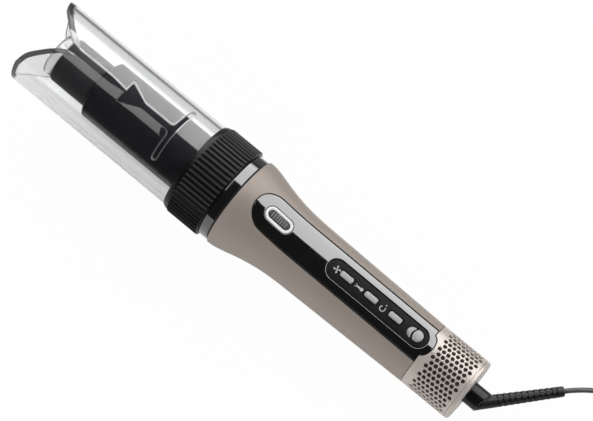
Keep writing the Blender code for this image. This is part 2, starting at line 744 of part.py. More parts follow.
def barrel_pieces(parent):
    shoulder_x = -barrel_reach
    bore = barrel_r - barrel_wall
    tip_step = tip_r - tip_round
    tube = [
        (shoulder_x, tip_r - fit_gap), (shoulder_x + barrel_chamfer, barrel_r), (barrel_root, barrel_r),
        (barrel_root, bore),
        (shoulder_x + barrel_chamfer + barrel_wall, bore), (shoulder_x + barrel_wall, tip_step - barrel_wall),
        (shoulder_x, tip_step - barrel_wall),
    ]
    barrel = turned("heater_barrel", tube, black_barrel, barrel_steps, parent)
    front = shoulder_x - tip_length
    rear = shoulder_x - fit_gap
    pin = tip_step - barrel_wall - fit_gap
    tip_line = [
        (front, 0), (front, tip_r - tip_round), (front + tip_round * round_share, tip_r - tip_round * round_share),
        (front + tip_round, tip_r), (rear, tip_r),
        (rear, pin), (rear + tip_plug, pin), (rear + tip_plug, 0),
    ]
    tip = turned("barrel_tip", tip_line, black_barrel, barrel_steps, parent)
    guard_rear = front - fit_gap
    guard_front = guard_rear - guard_length
    guard_line = [
        (guard_front, 0), (guard_front, guard_r - guard_round),
        (guard_front + guard_round * round_share, guard_r - guard_round * round_share),
        (guard_front + guard_round, guard_r), (guard_rear, guard_r), (guard_rear, guard_r - guard_wall),
        (guard_front + guard_round, guard_r - guard_wall), (guard_front + guard_wall, guard_r - guard_round),
        (guard_front + guard_wall, 0),
    ]
    guard = turned("tip_guard", guard_line, clear_plastic, 2 * inner_steps, parent)
    core_front = rear + tip_plug + fit_gap
    core_rear = barrel_root - hub_length - heater_gap
    core_line = [(core_front, 0), (core_front, heater_r), (core_rear, heater_r), (core_rear, 0)]
    core = turned("heater_core", core_line, ceramic, inner_steps, parent)
    plug = bore - fit_gap
    hub_line = [
        (barrel_root - hub_length, 0), (barrel_root - hub_length, plug), (hub_front, plug),
        (hub_front, barrel_r - fit_gap), (hub_front + hub_length, barrel_r - fit_gap),
        (hub_front + hub_length, shaft_r), (shaft_end, shaft_r), (shaft_end, 0),
    ]
    hub = turned("drive_hub", hub_line, inner_white, inner_steps + inner_steps // 2, parent)
    return [barrel, tip, guard, core, hub]


def gear_motor():
    boss_front = shaft_end + fit_gap
    face = boss_front + motor_boss
    line = [(boss_front, 0), (boss_front, motor_boss_r), (face, motor_boss_r), (face, motor_r)]
    line += [(face + motor_length, motor_r), (face + motor_length, 0)]
    return turned("gear_motor", line, steel, inner_steps, tool)


# Inside the handle.
board_thick = 1.6 * mm
board_width = 22.0 * mm
board_margin = 4.0 * mm       # board past the first and last control
cradle_clear = 0.4 * mm
cradle_width = 26.0 * mm
cradle_wall = 2.0 * mm

motor_rear = shaft_end + fit_gap + motor_boss + motor_length
handle_bore = cap_r - 2 * cap_wall - fit_gap
board_front = key_at(0) - key_length - board_margin
board_rear = slot_at + slot_length / 2 + board_margin / 2
board_top = switch_top - switch_size


def chassis():
    """Cradle in the handle: it follows the bore, its flat carries the board, its front saddle carries the motor."""
    radius = handle_bore - cradle_clear
    cradle_line = [(motor_rear + fit_gap, 0), (motor_rear + fit_gap, radius), (handle_rear, radius), (handle_rear, 0)]
    cradle = turned("chassis", cradle_line, inner_white, inner_steps, tool)
    top = board_top - board_thick - fit_gap
    rear = board_rear + board_margin
    deck = block("deck_space", rear, 2 * cradle_width, top, above, None, tool, rear / 2 + overrun)
    well_length = rear - motor_rear - 4 * cradle_wall
    middle, floor = (rear + motor_rear) / 2, top - cradle_width / 3
    well = block("cradle_well", well_length, cradle_width / 2, floor, above, None, tool, middle)
    return cut(cradle, deck, well)


def board_pieces():
    middle = (board_front + board_rear) / 2
    board = block("circuit_board", board_rear - board_front, board_width, board_top - board_thick, board_top, board_green,
                  tool, middle)
    pieces = [board]
    base = board_top + fit_gap
    for i, label in enumerate(("switch_fan", "switch_heat", "switch_timer")):
        pieces.append(block(label, switch_size, switch_size, base, switch_top, grey_matte, tool, key_at(i)))
    stem_drop = sleeve_r(slot_at) - key_stem_drop - fit_gap
    pieces.append(block("power_switch", slot_length, switch_size, base, stem_drop, grey_matte, tool, slot_at))
    return pieces


def direction_switch():
    """Carried on the motor's body, under the slider."""
    base = motor_r + fit_gap
    skirt_drop = handle_wall + fit_gap + slider_rib_height + slider_skirt_thick
    top = sleeve_r(ring_at + slider_travel + ring_length / 4) - skirt_drop - fit_gap * 2
    return block("direction_switch", ring_length / 2, switch_size, base, top, grey_matte, tool, ring_at)


fan_hub_r = 5.0 * mm
fan_r = 15.6 * mm
fan_length = 6.0 * mm
fan_blades = 7
fan_twist = math.radians(24)
fan_root_share = 0.30         # half a blade's root, of the pitch
fan_gap = 1.5 * mm
fan_motor_r = 8.0 * mm
fan_motor_length = 9.0 * mm
spider_thick = 2.0 * mm
cover_plug = 1.8 * mm         # end cover's spigot in the cap

cap_bore = cap_r - cap_wall
fan_front = cap_front + spigot_length + fan_gap
fan_rear = fan_front + fan_length


def fan_impeller(parent):
    """Hub and twisted blades in one outline, raised along the axis."""
    bm = bmesh.new()
    levels = []
    half = fan_root_share * math.tau / fan_blades
    for x, twist in ((fan_front, -fan_twist / 2), (fan_rear, fan_twist / 2)):
        ring = []
        for i in range(fan_blades):
            turn = math.tau * i / fan_blades
            corners = [(turn - half, fan_hub_r), (turn - half / 2 + twist, fan_r)]
            corners += [(turn + half / 2 + twist, fan_r), (turn + half, fan_hub_r)]
            ring += [bm.verts.new((x, radius * math.sin(angle), radius * math.cos(angle))) for angle, radius in corners]
        levels.append(ring)
    for ring in levels:
        hub = [v for i, v in enumerate(ring) if i % 4 in (0, 3)]
        bm.faces.new(hub)
        for i in range(fan_blades):
            bm.faces.new(ring[4 * i: 4 * i + 4])
    count = len(levels[0])
    for i in range(count):
        j = (i + 1) % count
        bm.faces.new((levels[0][i], levels[0][j], levels[1][j], levels[1][i]))
    return finish(bm, "fan_impeller", plug_black, parent, False)


def fan_motor_and_spider():
    motor_front = fan_rear + fit_gap
    rear = motor_front + fan_motor_length
    motor_line = [(motor_front, 0), (motor_front, fan_motor_r), (rear, fan_motor_r), (rear, 0)]
    motor = turned("fan_motor", motor_line, steel, inner_steps, tool)
    hole_r, rim_r = fan_motor_r + fit_gap, cap_bore - fit_gap
    arm = 1.5 * spider_thick
    line = [(rear - spider_thick, hole_r), (rear - spider_thick, rim_r), (rear, rim_r), (rear, hole_r)]
    spider = turned("fan_spider", line, inner_white, inner_steps + inner_steps // 2, tool)
    cutters = []
    for i in range(3):
        bm = bmesh.new()
        outline = []
        spread = math.tau / 6 - arm / rim_r
        steps = 2
        for radius, order in ((hole_r + spider_thick, 1), (rim_r - spider_thick, -1)):
            for k in range(steps + 1):
                outline.append((radius, order * spread * (2 * k / steps - 1)))
        mid = math.tau * (i + 0.5) / 3
        start = rear - spider_thick - overrun
        face = bm.faces.new([bm.verts.new((start, r * math.sin(mid + a), r * math.cos(mid + a))) for r, a in outline])
        raised = bmesh.ops.extrude_face_region(bm, geom=[face])["geom"]
        verts = [v for v in raised if isinstance(v, bmesh.types.BMVert)]
        bmesh.ops.translate(bm, verts=verts, vec=(spider_thick + 2 * overrun, 0, 0))
        cutters.append(finish(bm, f"spider_gap_{i}", None, tool))
    cut(spider, *cutters)
    return [motor, spider]


# Cord exit.
swivel_flange = 9.4 * mm
swivel_flange_thick = 1.6 * mm
bend = math.radians(48.9)
relief_length = 48.5 * mm
relief_root_r = 4.0 * mm
relief_end_r = 3.15 * mm
relief_groove = 0.6 * mm
relief_ribs = 10
relief_plain = 8.0 * mm       # smooth length at its root
relief_tail = 4.2 * mm        # smooth length at its end
relief_tail_round = 1.0 * mm
cord_r = 1.6 * mm

swivel_end = cap_rear + swivel_reach


def end_cover():
    """Rounded cover behind the cap; its spigot sits in the cap's bore and the swivel turns in its hole."""
    front = cover_front - cover_plug
    hole, outer = swivel_r + fit_gap, cap_r - cover_step
    line = [(front, hole), (front, cap_bore - fit_gap), (cover_front, cap_bore - fit_gap), (cover_front, outer)]
    arc = 4
    for k in range(arc + 1):
        turn = math.pi / 2 * k / arc
        line.append((cap_rear - cover_round * (1 - math.sin(turn)), outer - cover_round * (1 - math.cos(turn))))
    return turned("end_cover", line + [(cap_rear, hole)], taupe_light, hole_lines, tool)


def swivel_plane(name, side, clear):
    """Half space on one side of the slanted cut between the swivel and the strain relief."""
    size = 2 * relief_length
    box = block(name, size, size, -size / 2, size / 2, None, tool, side * size / 2)
    box.location = (swivel_end - side * clear / 2, 0, 0)
    box.rotation_euler = (0, 0, -swivel_cut)
    return box


def cord_swivel():
    flange_rear = cover_front - cover_plug - fit_gap
    flange_front = flange_rear - swivel_flange_thick
    far = swivel_end + swivel_r
    line = [(flange_front, 0), (flange_front, swivel_flange), (flange_rear, swivel_flange)]
    line += [(flange_rear, swivel_r), (far, swivel_r), (far, 0)]
    body = turned("cord_swivel", line, black_gloss, inner_steps + inner_steps // 2, tool)
    return cut(body, swivel_plane("swivel_end_cut", 1, fit_gap))


relief_axis = bpy.data.objects.new("relief_axis", None)
bpy.context.scene.collection.objects.link(relief_axis)
relief_axis.parent = tool
relief_axis.location = (swivel_end, 0, 0)
relief_axis.rotation_euler = (0, 0, bend)


def strain_relief():
    """Tapered flexible sleeve, ribbed past its plain root, cut slantwise where it leaves the swivel."""
    pitch = (relief_length - relief_plain - relief_tail) / relief_ribs
    root = -3 * relief_root_r
    line = [(root, 0), (root, relief_root_r), (relief_plain - pitch / 4, relief_root_r)]
    for i in range(relief_ribs):
        start = relief_plain + i * pitch
        share = start / relief_length
        r = relief_root_r + (relief_end_r - relief_root_r) * share
        line += [(start, r - relief_groove), (start + pitch / 4, r), (start + pitch * 3 / 4, r)]
    tail = relief_length - relief_tail
    line += [(tail, relief_end_r - relief_groove), (tail + pitch / 4, relief_end_r)]
    line += [(relief_length - relief_tail_round, relief_end_r), (relief_length, relief_end_r - relief_tail_round)]
    line.append((relief_length, 0))
    sleeve = turned("strain_relief", line, black_rubber, 8, relief_axis)
    return cut(sleeve, swivel_plane("relief_root_cut", -1, fit_gap))


# Mains cord.
turn_gap = 0.6 * mm           # between neighbouring turns
coil_mid_r = 19.2 * mm
coil_layers = 4
loops_per_layer = 3
points_per_loop = 24
climb_turns = 0.5             # the coil climbs a layer in the half turn where its spiral reverses
tie_thick = 0.8 * mm
tie_width = 6.0 * mm
tie_clear = 0.7 * mm
plug_length = 31.0 * mm
plug_width = 26.0 * mm
plug_waist = 17.0 * mm
plug_height = 13.7 * mm
plug_neck = 10.0 * mm
plug_neck_r = 4.4 * mm
pin_r = 2.0 * mm
pin_length = 19.0 * mm
pin_spread = 18.6 * mm
pin_foot = 3.0 * mm

cord_d = 2 * cord_r
turn_pitch = cord_d + turn_gap
coil_base = tie_thick + fit_gap + cord_r
coil_out_r = coil_mid_r + turn_pitch * loops_per_layer / 2

# The coil's own empty: its X axis is the way the cord runs in, its origin is the coil's middle on the table.
# The cord winds to the right, and leaves after a last quarter turn.
lay_turn = math.radians(42)
coil_ahead = 46.0 * mm        # from the relief to the coil, the way the cord runs in
coil_aside = 2.6 * mm
last_turn = 0.25
# Places of the free stretch between the relief and the coil: shares of the way along, aside and up.
lead_shares = ((0.27, 0.34, 0.90), (0.50, 0.66, 0.52), (0.74, 0.91, 0.13))
plug_ahead = 42.0 * mm        # plug's neck, past the coil's end
plug_aside = 9.0 * mm
plug_turn = math.radians(10)
tail_shares = ((0.385, 0.106, 0.22), (0.712, 0.459, 0.88))


def coil_points():
    loops = coil_layers * loops_per_layer
    points = [Vector((-cord_d, coil_out_r, coil_base))]
    for k in range(round((loops + last_turn) * points_per_loop) + 1):
        turns = k / points_per_loop
        layer = min(turns // loops_per_layer, coil_layers - 1)
        along = turns - layer * loops_per_layer
        inward = along if layer % 2 == 0 else loops_per_layer - along
        radius = coil_out_r - turn_pitch * inward
        climbed = 0.0
        for reversal in range(1, coil_layers):
            share = (turns - reversal * loops_per_layer) / climb_turns + 0.5
            share = min(max(share, 0.0), 1.0)
            climbed += share * share * (3 - 2 * share)
        angle = math.tau * turns
        points.append(Vector((radius * math.sin(angle), radius * math.cos(angle), coil_base + turn_pitch * climbed)))
    points.append(points[-1] - Vector((0, cord_d, 0)))
    return points


def least_gap(points):
    """The least distance between the skins of turns that are not neighbours along the tube."""
    least = None
    near = points_per_loop // 2
    for i, a in enumerate(points):
        for b, c in zip(points[i + near:], points[i + near + 1:]):
            run = c - b
            share = min(max((a - b).dot(run) / run.length_squared, 0.0), 1.0)
            distance = (a - b - run * share).length
            if least is None or distance < least:
                least = distance
    return least - cord_d


def tube(name, points, resolution, material, parent):
    curve = bpy.data.curves.new(name, "CURVE")
    curve.dimensions = "3D"
    curve.bevel_depth = cord_r
    curve.bevel_resolution = resolution
    curve.use_fill_caps = True
    line = curve.splines.new("POLY")
    line.points.add(len(points) - 1)
    for slot, place in zip(line.points, points):
        slot.co = (*place, 1.0)
    curve.materials.append(material)
    thing = bpy.data.objects.new(name, curve)
    bpy.context.scene.collection.objects.link(thing)
    thing.parent = parent
    return thing


def mains_cord():
    bpy.context.view_layer.update()
    root = relief_axis.matrix_world @ Vector((relief_length + fit_gap, 0, 0))
    way = (relief_axis.matrix_world.to_3x3() @ Vector((1, 0, 0))).normalized()
    coil = bpy.data.objects.new("coil_middle", None)
    bpy.context.scene.collection.objects.link(coil)
    along = Vector((math.cos(lay_turn), math.sin(lay_turn), 0))
    across = Vector((-math.sin(lay_turn), math.cos(lay_turn), 0))
    start = root + along * coil_ahead + across * coil_aside
    middle = start - across * coil_out_r
    coil.location = (middle.x, middle.y, 0)
    coil.rotation_euler = (0, 0, lay_turn)
    bpy.context.view_layer.update()

    to_coil = coil.matrix_world.inverted()
    first = to_coil @ root
    second = to_coil @ (root + way * cord_d)
    last = Vector((-cord_d - fit_gap, coil_out_r, coil_base))
    route = [first, second]
    for along, aside, height in lead_shares:
        x, y = first.x + (last.x - first.x) * along, first.y + (last.y - first.y) * aside
        route.append(Vector((x, y, last.z + (first.z - last.z) * height)))
    route += [last - Vector((cord_d, 0, 0)), last]
    lead = tube("mains_lead", blend(route, 2), 2, cord_grey, coil)

    loops = coil_points()
    print(f"coil: least gap to itself {least_gap(loops) / mm:.2f} mm")
    wound = tube("cord_coil", loops, 1, cord_grey, coil)

    # From the top of the coil down to the plug.
    leave = loops[-1] - Vector((0, fit_gap, 0))
    run = Vector((-plug_aside, -plug_ahead, plug_height / 2 - leave.z))
    plug_at = leave + run
    plug_heading = -math.pi / 2 - plug_turn
    plug_way = Vector((math.cos(plug_heading), math.sin(plug_heading), 0))
    tail_route = [leave, leave - Vector((0, cord_d, 0))]
    for along, aside, fall in tail_shares:
        tail_route.append(leave + Vector((run.x * aside, run.y * along, run.z * fall)))
    tail_route += [plug_at - plug_way * cord_d, plug_at]
    tail = tube("plug_lead", blend(tail_route, 2), 2, cord_grey, coil)

    plug = bpy.data.objects.new("plug_axis", None)
    bpy.context.scene.collection.objects.link(plug)
    plug.parent = coil
    plug.location = plug_at
    plug.rotation_euler = (0, 0, plug_heading)
    neck_start = fit_gap
    body_start = neck_start + plug_neck
    body_end = body_start + plug_length
    neck_end = body_start + 2 * pin_r
    neck_line = [(neck_start, 0), (neck_start, cord_r + 2 * fit_gap), (neck_end, plug_neck_r), (neck_end, 0)]
    half = [(body_start, plug_waist / 2), (body_start + plug_length / 3, plug_width / 2), (body_end, plug_width / 2)]
    outline = half + [(x, -y) for x, y in reversed(half)]
    body = prism("plug_body", outline, -plug_height / 2, plug_height / 2, plug_black, plug, False)
    soften = body.modifiers.new("Edges", "BEVEL")
    soften.width = pin_r
    soften.segments = 2
    soften.limit_method = "ANGLE"
    boolean(body, helper(turned("plug_neck", neck_line, None, 12, plug)), "UNION")
    pins = []
    for label, side in (("plug_pin_left", 1), ("plug_pin_right", -1)):
        foot, point = body_end - pin_foot, body_end + pin_length
        line = [(foot, 0), (foot, pin_r), (point - pin_r / 2, pin_r), (point, pin_r / 2), (point, 0)]
        pin = turned(label, line, nickel, 12, plug)
        pin.location = (0, side * pin_spread / 2, 0)
        wall, floor = pin_r + fit_gap, foot - fit_gap
        socket_line = [(floor, 0), (floor, wall), (body_end + overrun, wall), (body_end + overrun, 0)]
        socket = turned(f"{label}_socket", socket_line, None, 12, plug)
        socket.location = pin.location
        cut(body, socket)
        pins.append(pin)

    # The tie closes round the bundle on the coil's far side.
    bundle_width = turn_pitch * (loops_per_layer - 1) + cord_d
    bundle_height = turn_pitch * (coil_layers - 1) + cord_d
    inner_low = tie_thick
    inner_high = inner_low + bundle_height + 2 * fit_gap
    tie_span = bundle_width + 2 * tie_clear
    tie_top = inner_high + tie_thick
    tie = block("coil_tie", tie_width, tie_span + 2 * tie_thick, 0, tie_top, plug_black, coil, 0.0, -coil_mid_r)
    edge = tie.modifiers.new("Edges", "BEVEL")
    edge.width = tie_thick
    edge.segments = 2
    edge.limit_method = "ANGLE"
    room = tie_width + 2 * overrun
    cut(tie, block("tie_space", room, tie_span, inner_low, inner_high, None, coil, 0.0, -coil_mid_r))
    return [lead, wound, tail, body, tie] + pins


# Assembly.
chamber_axis = axis_empty("chamber_twist_axis")
barrel_axis = axis_empty("barrel_axis")
fan_axis = axis_empty("fan_axis", 0.0)

pieces = [handle_shell(), control_strip(), keypad(), bezel(), direction_slider()]
for place, label in enumerate(("button_fan", "button_heat", "button_timer")):
    pieces.append(key(label, place))
pieces += [power_switch(), grille_cap(), clear_chamber(chamber_axis), grip_collar(chamber_axis)]
pieces += [neck_ring(), bearing()]
pieces += barrel_pieces(barrel_axis)
pieces += [gear_motor(), chassis(), direction_switch(), end_cover(), cord_swivel(), strain_relief()]
pieces += board_pieces() + fan_motor_and_spider() + [fan_impeller(fan_axis)]
pieces += mains_cord()
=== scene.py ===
import json
import math

import bmesh
import bpy
from mathutils import Matrix, Vector
from mathutils.geometry import intersect_point_line


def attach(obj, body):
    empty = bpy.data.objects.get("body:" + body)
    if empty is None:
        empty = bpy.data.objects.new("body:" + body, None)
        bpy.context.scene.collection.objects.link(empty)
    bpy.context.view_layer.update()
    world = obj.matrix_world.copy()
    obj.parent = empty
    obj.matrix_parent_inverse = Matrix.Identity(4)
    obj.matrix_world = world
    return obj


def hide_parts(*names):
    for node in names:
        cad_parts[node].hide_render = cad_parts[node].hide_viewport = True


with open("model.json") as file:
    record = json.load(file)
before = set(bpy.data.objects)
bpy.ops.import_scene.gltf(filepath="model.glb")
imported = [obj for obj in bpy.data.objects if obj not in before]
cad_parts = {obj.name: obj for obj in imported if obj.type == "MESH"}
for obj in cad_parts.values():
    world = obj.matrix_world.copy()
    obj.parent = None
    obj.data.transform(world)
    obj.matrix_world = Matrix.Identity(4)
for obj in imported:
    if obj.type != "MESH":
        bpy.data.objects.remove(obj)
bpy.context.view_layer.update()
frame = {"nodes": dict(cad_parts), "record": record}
print("frame loaded")

mm = 0.001
tau, quarter = math.tau, math.pi / 2
tiny = 1e-6
sharpFrom = math.radians(38)


def axesAt(origin, x, y, z):
    return Matrix.Translation(origin) @ Matrix((x, y, z)).transposed().to_4x4()


# The tool's own directions: X from mouth to cord, Z out of the controls, zero at the collar's front edge.
joints = {joint["name"]: joint for joint in frame["record"]["behaviour"]["joints"]}
toolAlong = Vector(joints["chamber_twist"]["axis"]).normalized()
toolUp = Vector((-toolAlong.z, 0, toolAlong.x))
toolMatrix = axesAt(Vector(joints["chamber_twist"]["pos_m"]), toolAlong, Vector((0, 1, 0)), toolUp)
toTool = toolMatrix.inverted()
slotOf = {piece["node"]: piece["material_slot"] for piece in frame["record"]["subparts"]}


def corners(node):
    return [toTool @ v.co for v in frame["nodes"][node].data.vertices]


def span(node):  # lowest and highest corner of a CAD node, in the tool's directions
    points = corners(node)
    return [Vector([pick(p[k] for p in points) for k in range(3)]) for pick in (min, max)]


def ends(node):  # where a CAD node starts and ends along X
    return [corner.x for corner in span(node)]


def reach(node):  # how far a CAD node reaches from the tool's middle line
    return max(math.hypot(p.y, p.z) for p in corners(node))


def addThing(name, data):
    thing = bpy.data.objects.new(name, data)
    bpy.context.scene.collection.objects.link(thing)
    return thing


# Camera
view = {
    "azimuth": math.radians(32.91),
    "elevation": math.radians(70.04),
    "roll": math.radians(7.14),
    "distance": 1.715,
    "lens": 176.5,
    "clipStart": 0.01,
    "aim": Vector((0.01215, 0.01944, 0.025)),
}


def addCamera():
    side, lift = view["azimuth"], view["elevation"]
    back = Vector((math.sin(side) * math.cos(lift), -math.cos(side) * math.cos(lift), math.sin(lift)))
    right = Vector((0, 0, 1)).cross(back).normalized()
    data = bpy.data.cameras.new("camera")
    data.lens, data.clip_start = view["lens"], view["clipStart"]
    camera = addThing("camera", data)
    place = axesAt(view["aim"] + back * view["distance"], right, back.cross(right), back)
    camera.matrix_world = place @ Matrix.Rotation(view["roll"], 4, "Z")
    bpy.context.scene.camera = camera


addCamera()
print("camera set")


# Shader maths
class Wire:  # a node's output; sums on it add Math nodes
    def __init__(self, shades, socket):
        self.shades, self.socket = shades, socket

    def sum(self, operation, first, second):
        return self.shades.add("ShaderNodeMath", {"operation": operation}, {0: first, 1: second})

    def __add__(self, other):
        return self.sum("ADD", self, other)

    def __radd__(self, other):
        return self.sum("ADD", other, self)

    def __sub__(self, other):
        return self.sum("SUBTRACT", self, other)

    def __rsub__(self, other):
        return self.sum("SUBTRACT", other, self)

    def __mul__(self, other):
        return self.sum("MULTIPLY", self, other)

    def __rmul__(self, other):
        return self.sum("MULTIPLY", other, self)


class Shades:  # a node tree
    def __init__(self, tree):
        self.tree = tree

    def add(self, kind, settings=None, sockets=None, output=0):
        node = self.tree.nodes.new(kind)
        for key, value in (settings or {}).items():
            if key == "stops":
                self.setStops(node.color_ramp, value)
            else:
                setattr(node, key, value)
        for key, value in (sockets or {}).items():
            self.join(value, node.inputs[key])
        return Wire(self, node.outputs[output])

    def setStops(self, ramp, stops):
        while len(ramp.elements) < len(stops):
            ramp.elements.new(1)
        for element, (place, value) in zip(ramp.elements, stops):
            element.position = place
            element.color = (value, value, value, 1)

    def join(self, value, socket):
        if isinstance(value, Wire):
            self.tree.links.new(value.socket, socket)
        else:
            socket.default_value = value

    def fade(self, value, start, end):  # 0 before start, 1 past end
        sockets = {"Value": value, "From Min": start, "From Max": end}
        return self.add("ShaderNodeMapRange", {"interpolation_type": "SMOOTHSTEP"}, sockets)

    def ray(self, label):
        return self.add("ShaderNodeLightPath", output=label)


class Finish(Shades):  # a material with its shader
    def __init__(self, name, slot, colour, roughness, **constants):
        self.slot = slot
        self.material = bpy.data.materials.new(name)
        self.material.use_nodes = True
        super().__init__(self.material.node_tree)
        self.shader = self.tree.nodes["Principled BSDF"]
        self.material.diffuse_color = (*colour, 1)
        self.set("Base Color", (*colour, 1))
        self.set("Roughness", roughness)
        for label, value in constants.items():
            self.set(label.replace("_", " "), value)

    def set(self, label, value):
        self.join(value, self.shader.inputs[label])

    def noise(self, size, detail=2.0, stretch=(1, 1, 1)):  # spots of about that size in metres
        place = self.add("ShaderNodeTexCoord", output="Object")
        place = self.add("ShaderNodeMapping", sockets={"Vector": place, "Scale": [s / size for s in stretch]})
        return self.add("ShaderNodeTexNoise", sockets={"Vector": place, "Scale": 1.0, "Detail": detail})

    def tint(self, mask, low, high):
        sockets = {0: mask, 6: (*low, 1), 7: (*high, 1)}
        self.set("Base Color", self.add("ShaderNodeMix", {"data_type": "RGBA"}, sockets, 2))

    def shade(self, mask, colour, shares):  # the colour made darker and lighter
        low, high = [[min(1.0, c * share) for c in colour] for share in shares]
        self.tint(mask, low, high)

    def bump(self, height, distance):
        sockets = {"Height": height, "Distance": distance, "Strength": 1.0}
        self.set("Normal", self.add("ShaderNodeBump", sockets=sockets))

    def surface(self, factor, first, second):  # mixes two shaders
        return self.add("ShaderNodeMixShader", sockets={0: factor, 1: first, 2: second})

    def show(self, shader):
        self.join(shader, self.tree.nodes["Material Output"].inputs["Surface"])


lacquerLook = {
    "flake": 0.35 * mm,
    "flakeDepth": 0.012 * mm,
    "flakeShare": 0.7,         # of the change in colour; clouds make the rest
    "flakeRough": 0.02,
    "cloud": 26 * mm,
    "cloudRough": 0.06,
    "shades": (0.90, 1.10),
}
mouldedLook = {
    "grainRough": 0.03,
    "smudge": 18 * mm,
    "smudgeRough": 0.1,
    "shades": (0.9, 1.12),
    "coatRoughness": 0.02,
}
metalLook = {
    "brush": 0.4 * mm,
    "brushDepth": 0.01 * mm,
    "brushRough": 0.14,
    "stain": 9 * mm,
    "shades": (0.88, 1.1),
}
clearLook = {
    "tint": (0.93, 0.935, 0.935),
    "ior": 1.49,
    "leastRough": 0.008,
    "haze": 30 * mm,
    "hazeRough": 0.02,
    "shadow": 0.88,            # light that passes on, per wall
}
boardLook = {
    "colour": (0.02, 0.11, 0.05),
    "tracks": (0.06, 0.22, 0.10),
    "track": 3 * mm,
    "trackStretch": (1, 3, 1),
    "trackDepth": 0.04 * mm,
    "stops": [(0.46, 0.0), (0.5, 1.0), (0.54, 0.0)],
    "roughness": 0.4,
}


def lacquer(name, slot, colour, roughness, metal):  # satin lacquer with fine metal flake
    look = lacquerLook
    finish = Finish(name, slot, colour, roughness, Metallic=metal)
    flake, cloud = finish.noise(look["flake"], 3.0), finish.noise(look["cloud"])
    finish.shade(flake * look["flakeShare"] + cloud * (1 - look["flakeShare"]), colour, look["shades"])
    rough = cloud * look["cloudRough"] + (roughness - look["cloudRough"] / 2)
    finish.set("Roughness", rough + flake * look["flakeRough"])
    finish.bump(flake, look["flakeDepth"])
    return finish


def moulded(name, slot, colour, roughness, grain, depth, specular=0.5, through=0.0, coat=0.0):
    look = mouldedLook
    finish = Finish(
        name, slot, colour, roughness, Specular_IOR_Level=specular, Transmission_Weight=through,
        Coat_Weight=coat, Coat_Roughness=look["coatRoughness"],
    )
    fine, smudge = finish.noise(grain * mm, 3.0), finish.noise(look["smudge"], 3.0)
    finish.shade(smudge, colour, look["shades"])
    rough = smudge * look["smudgeRough"] + (roughness - look["smudgeRough"] / 2)
    finish.set("Roughness", rough + fine * look["grainRough"])
    finish.bump(fine, depth * mm)
    return finish


def metal(name, slot, colour, roughness, stretch):  # turned or brushed metal
    look = metalLook
    finish = Finish(name, slot, colour, roughness, Metallic=1.0)
    brush, stain = finish.noise(look["brush"], 2.0, stretch), finish.noise(look["stain"])
    finish.shade(stain, colour, look["shades"])
    finish.set("Roughness", brush * look["brushRough"] + (roughness - look["brushRough"] / 2))
    finish.bump(brush, look["brushDepth"])
    return finish


def clearPlastic(name, slot):
    look = clearLook
    finish = Finish(name, slot, look["tint"], look["leastRough"], Transmission_Weight=1.0, IOR=look["ior"])
    finish.set("Roughness", finish.noise(look["haze"]) * look["hazeRough"] + look["leastRough"])
    # Light passes it in straight lines, so that it throws no black shadow.
    through = finish.add("ShaderNodeBsdfTransparent", sockets={"Color": (*[look["shadow"]] * 3, 1)})
    finish.show(finish.surface(finish.ray("Is Shadow Ray"), Wire(finish, finish.shader.outputs[0]), through))
    return finish


def circuitBoard(name, slot):
    look = boardLook
    finish = Finish(name, slot, look["colour"], look["roughness"])
    spots = finish.noise(look["track"], 0.0, look["trackStretch"])
    tracks = finish.add("ShaderNodeValToRGB", {"stops": look["stops"]}, {0: spots})
    finish.tint(tracks, look["colour"], look["tracks"])
    finish.bump(tracks, look["trackDepth"])
    return finish


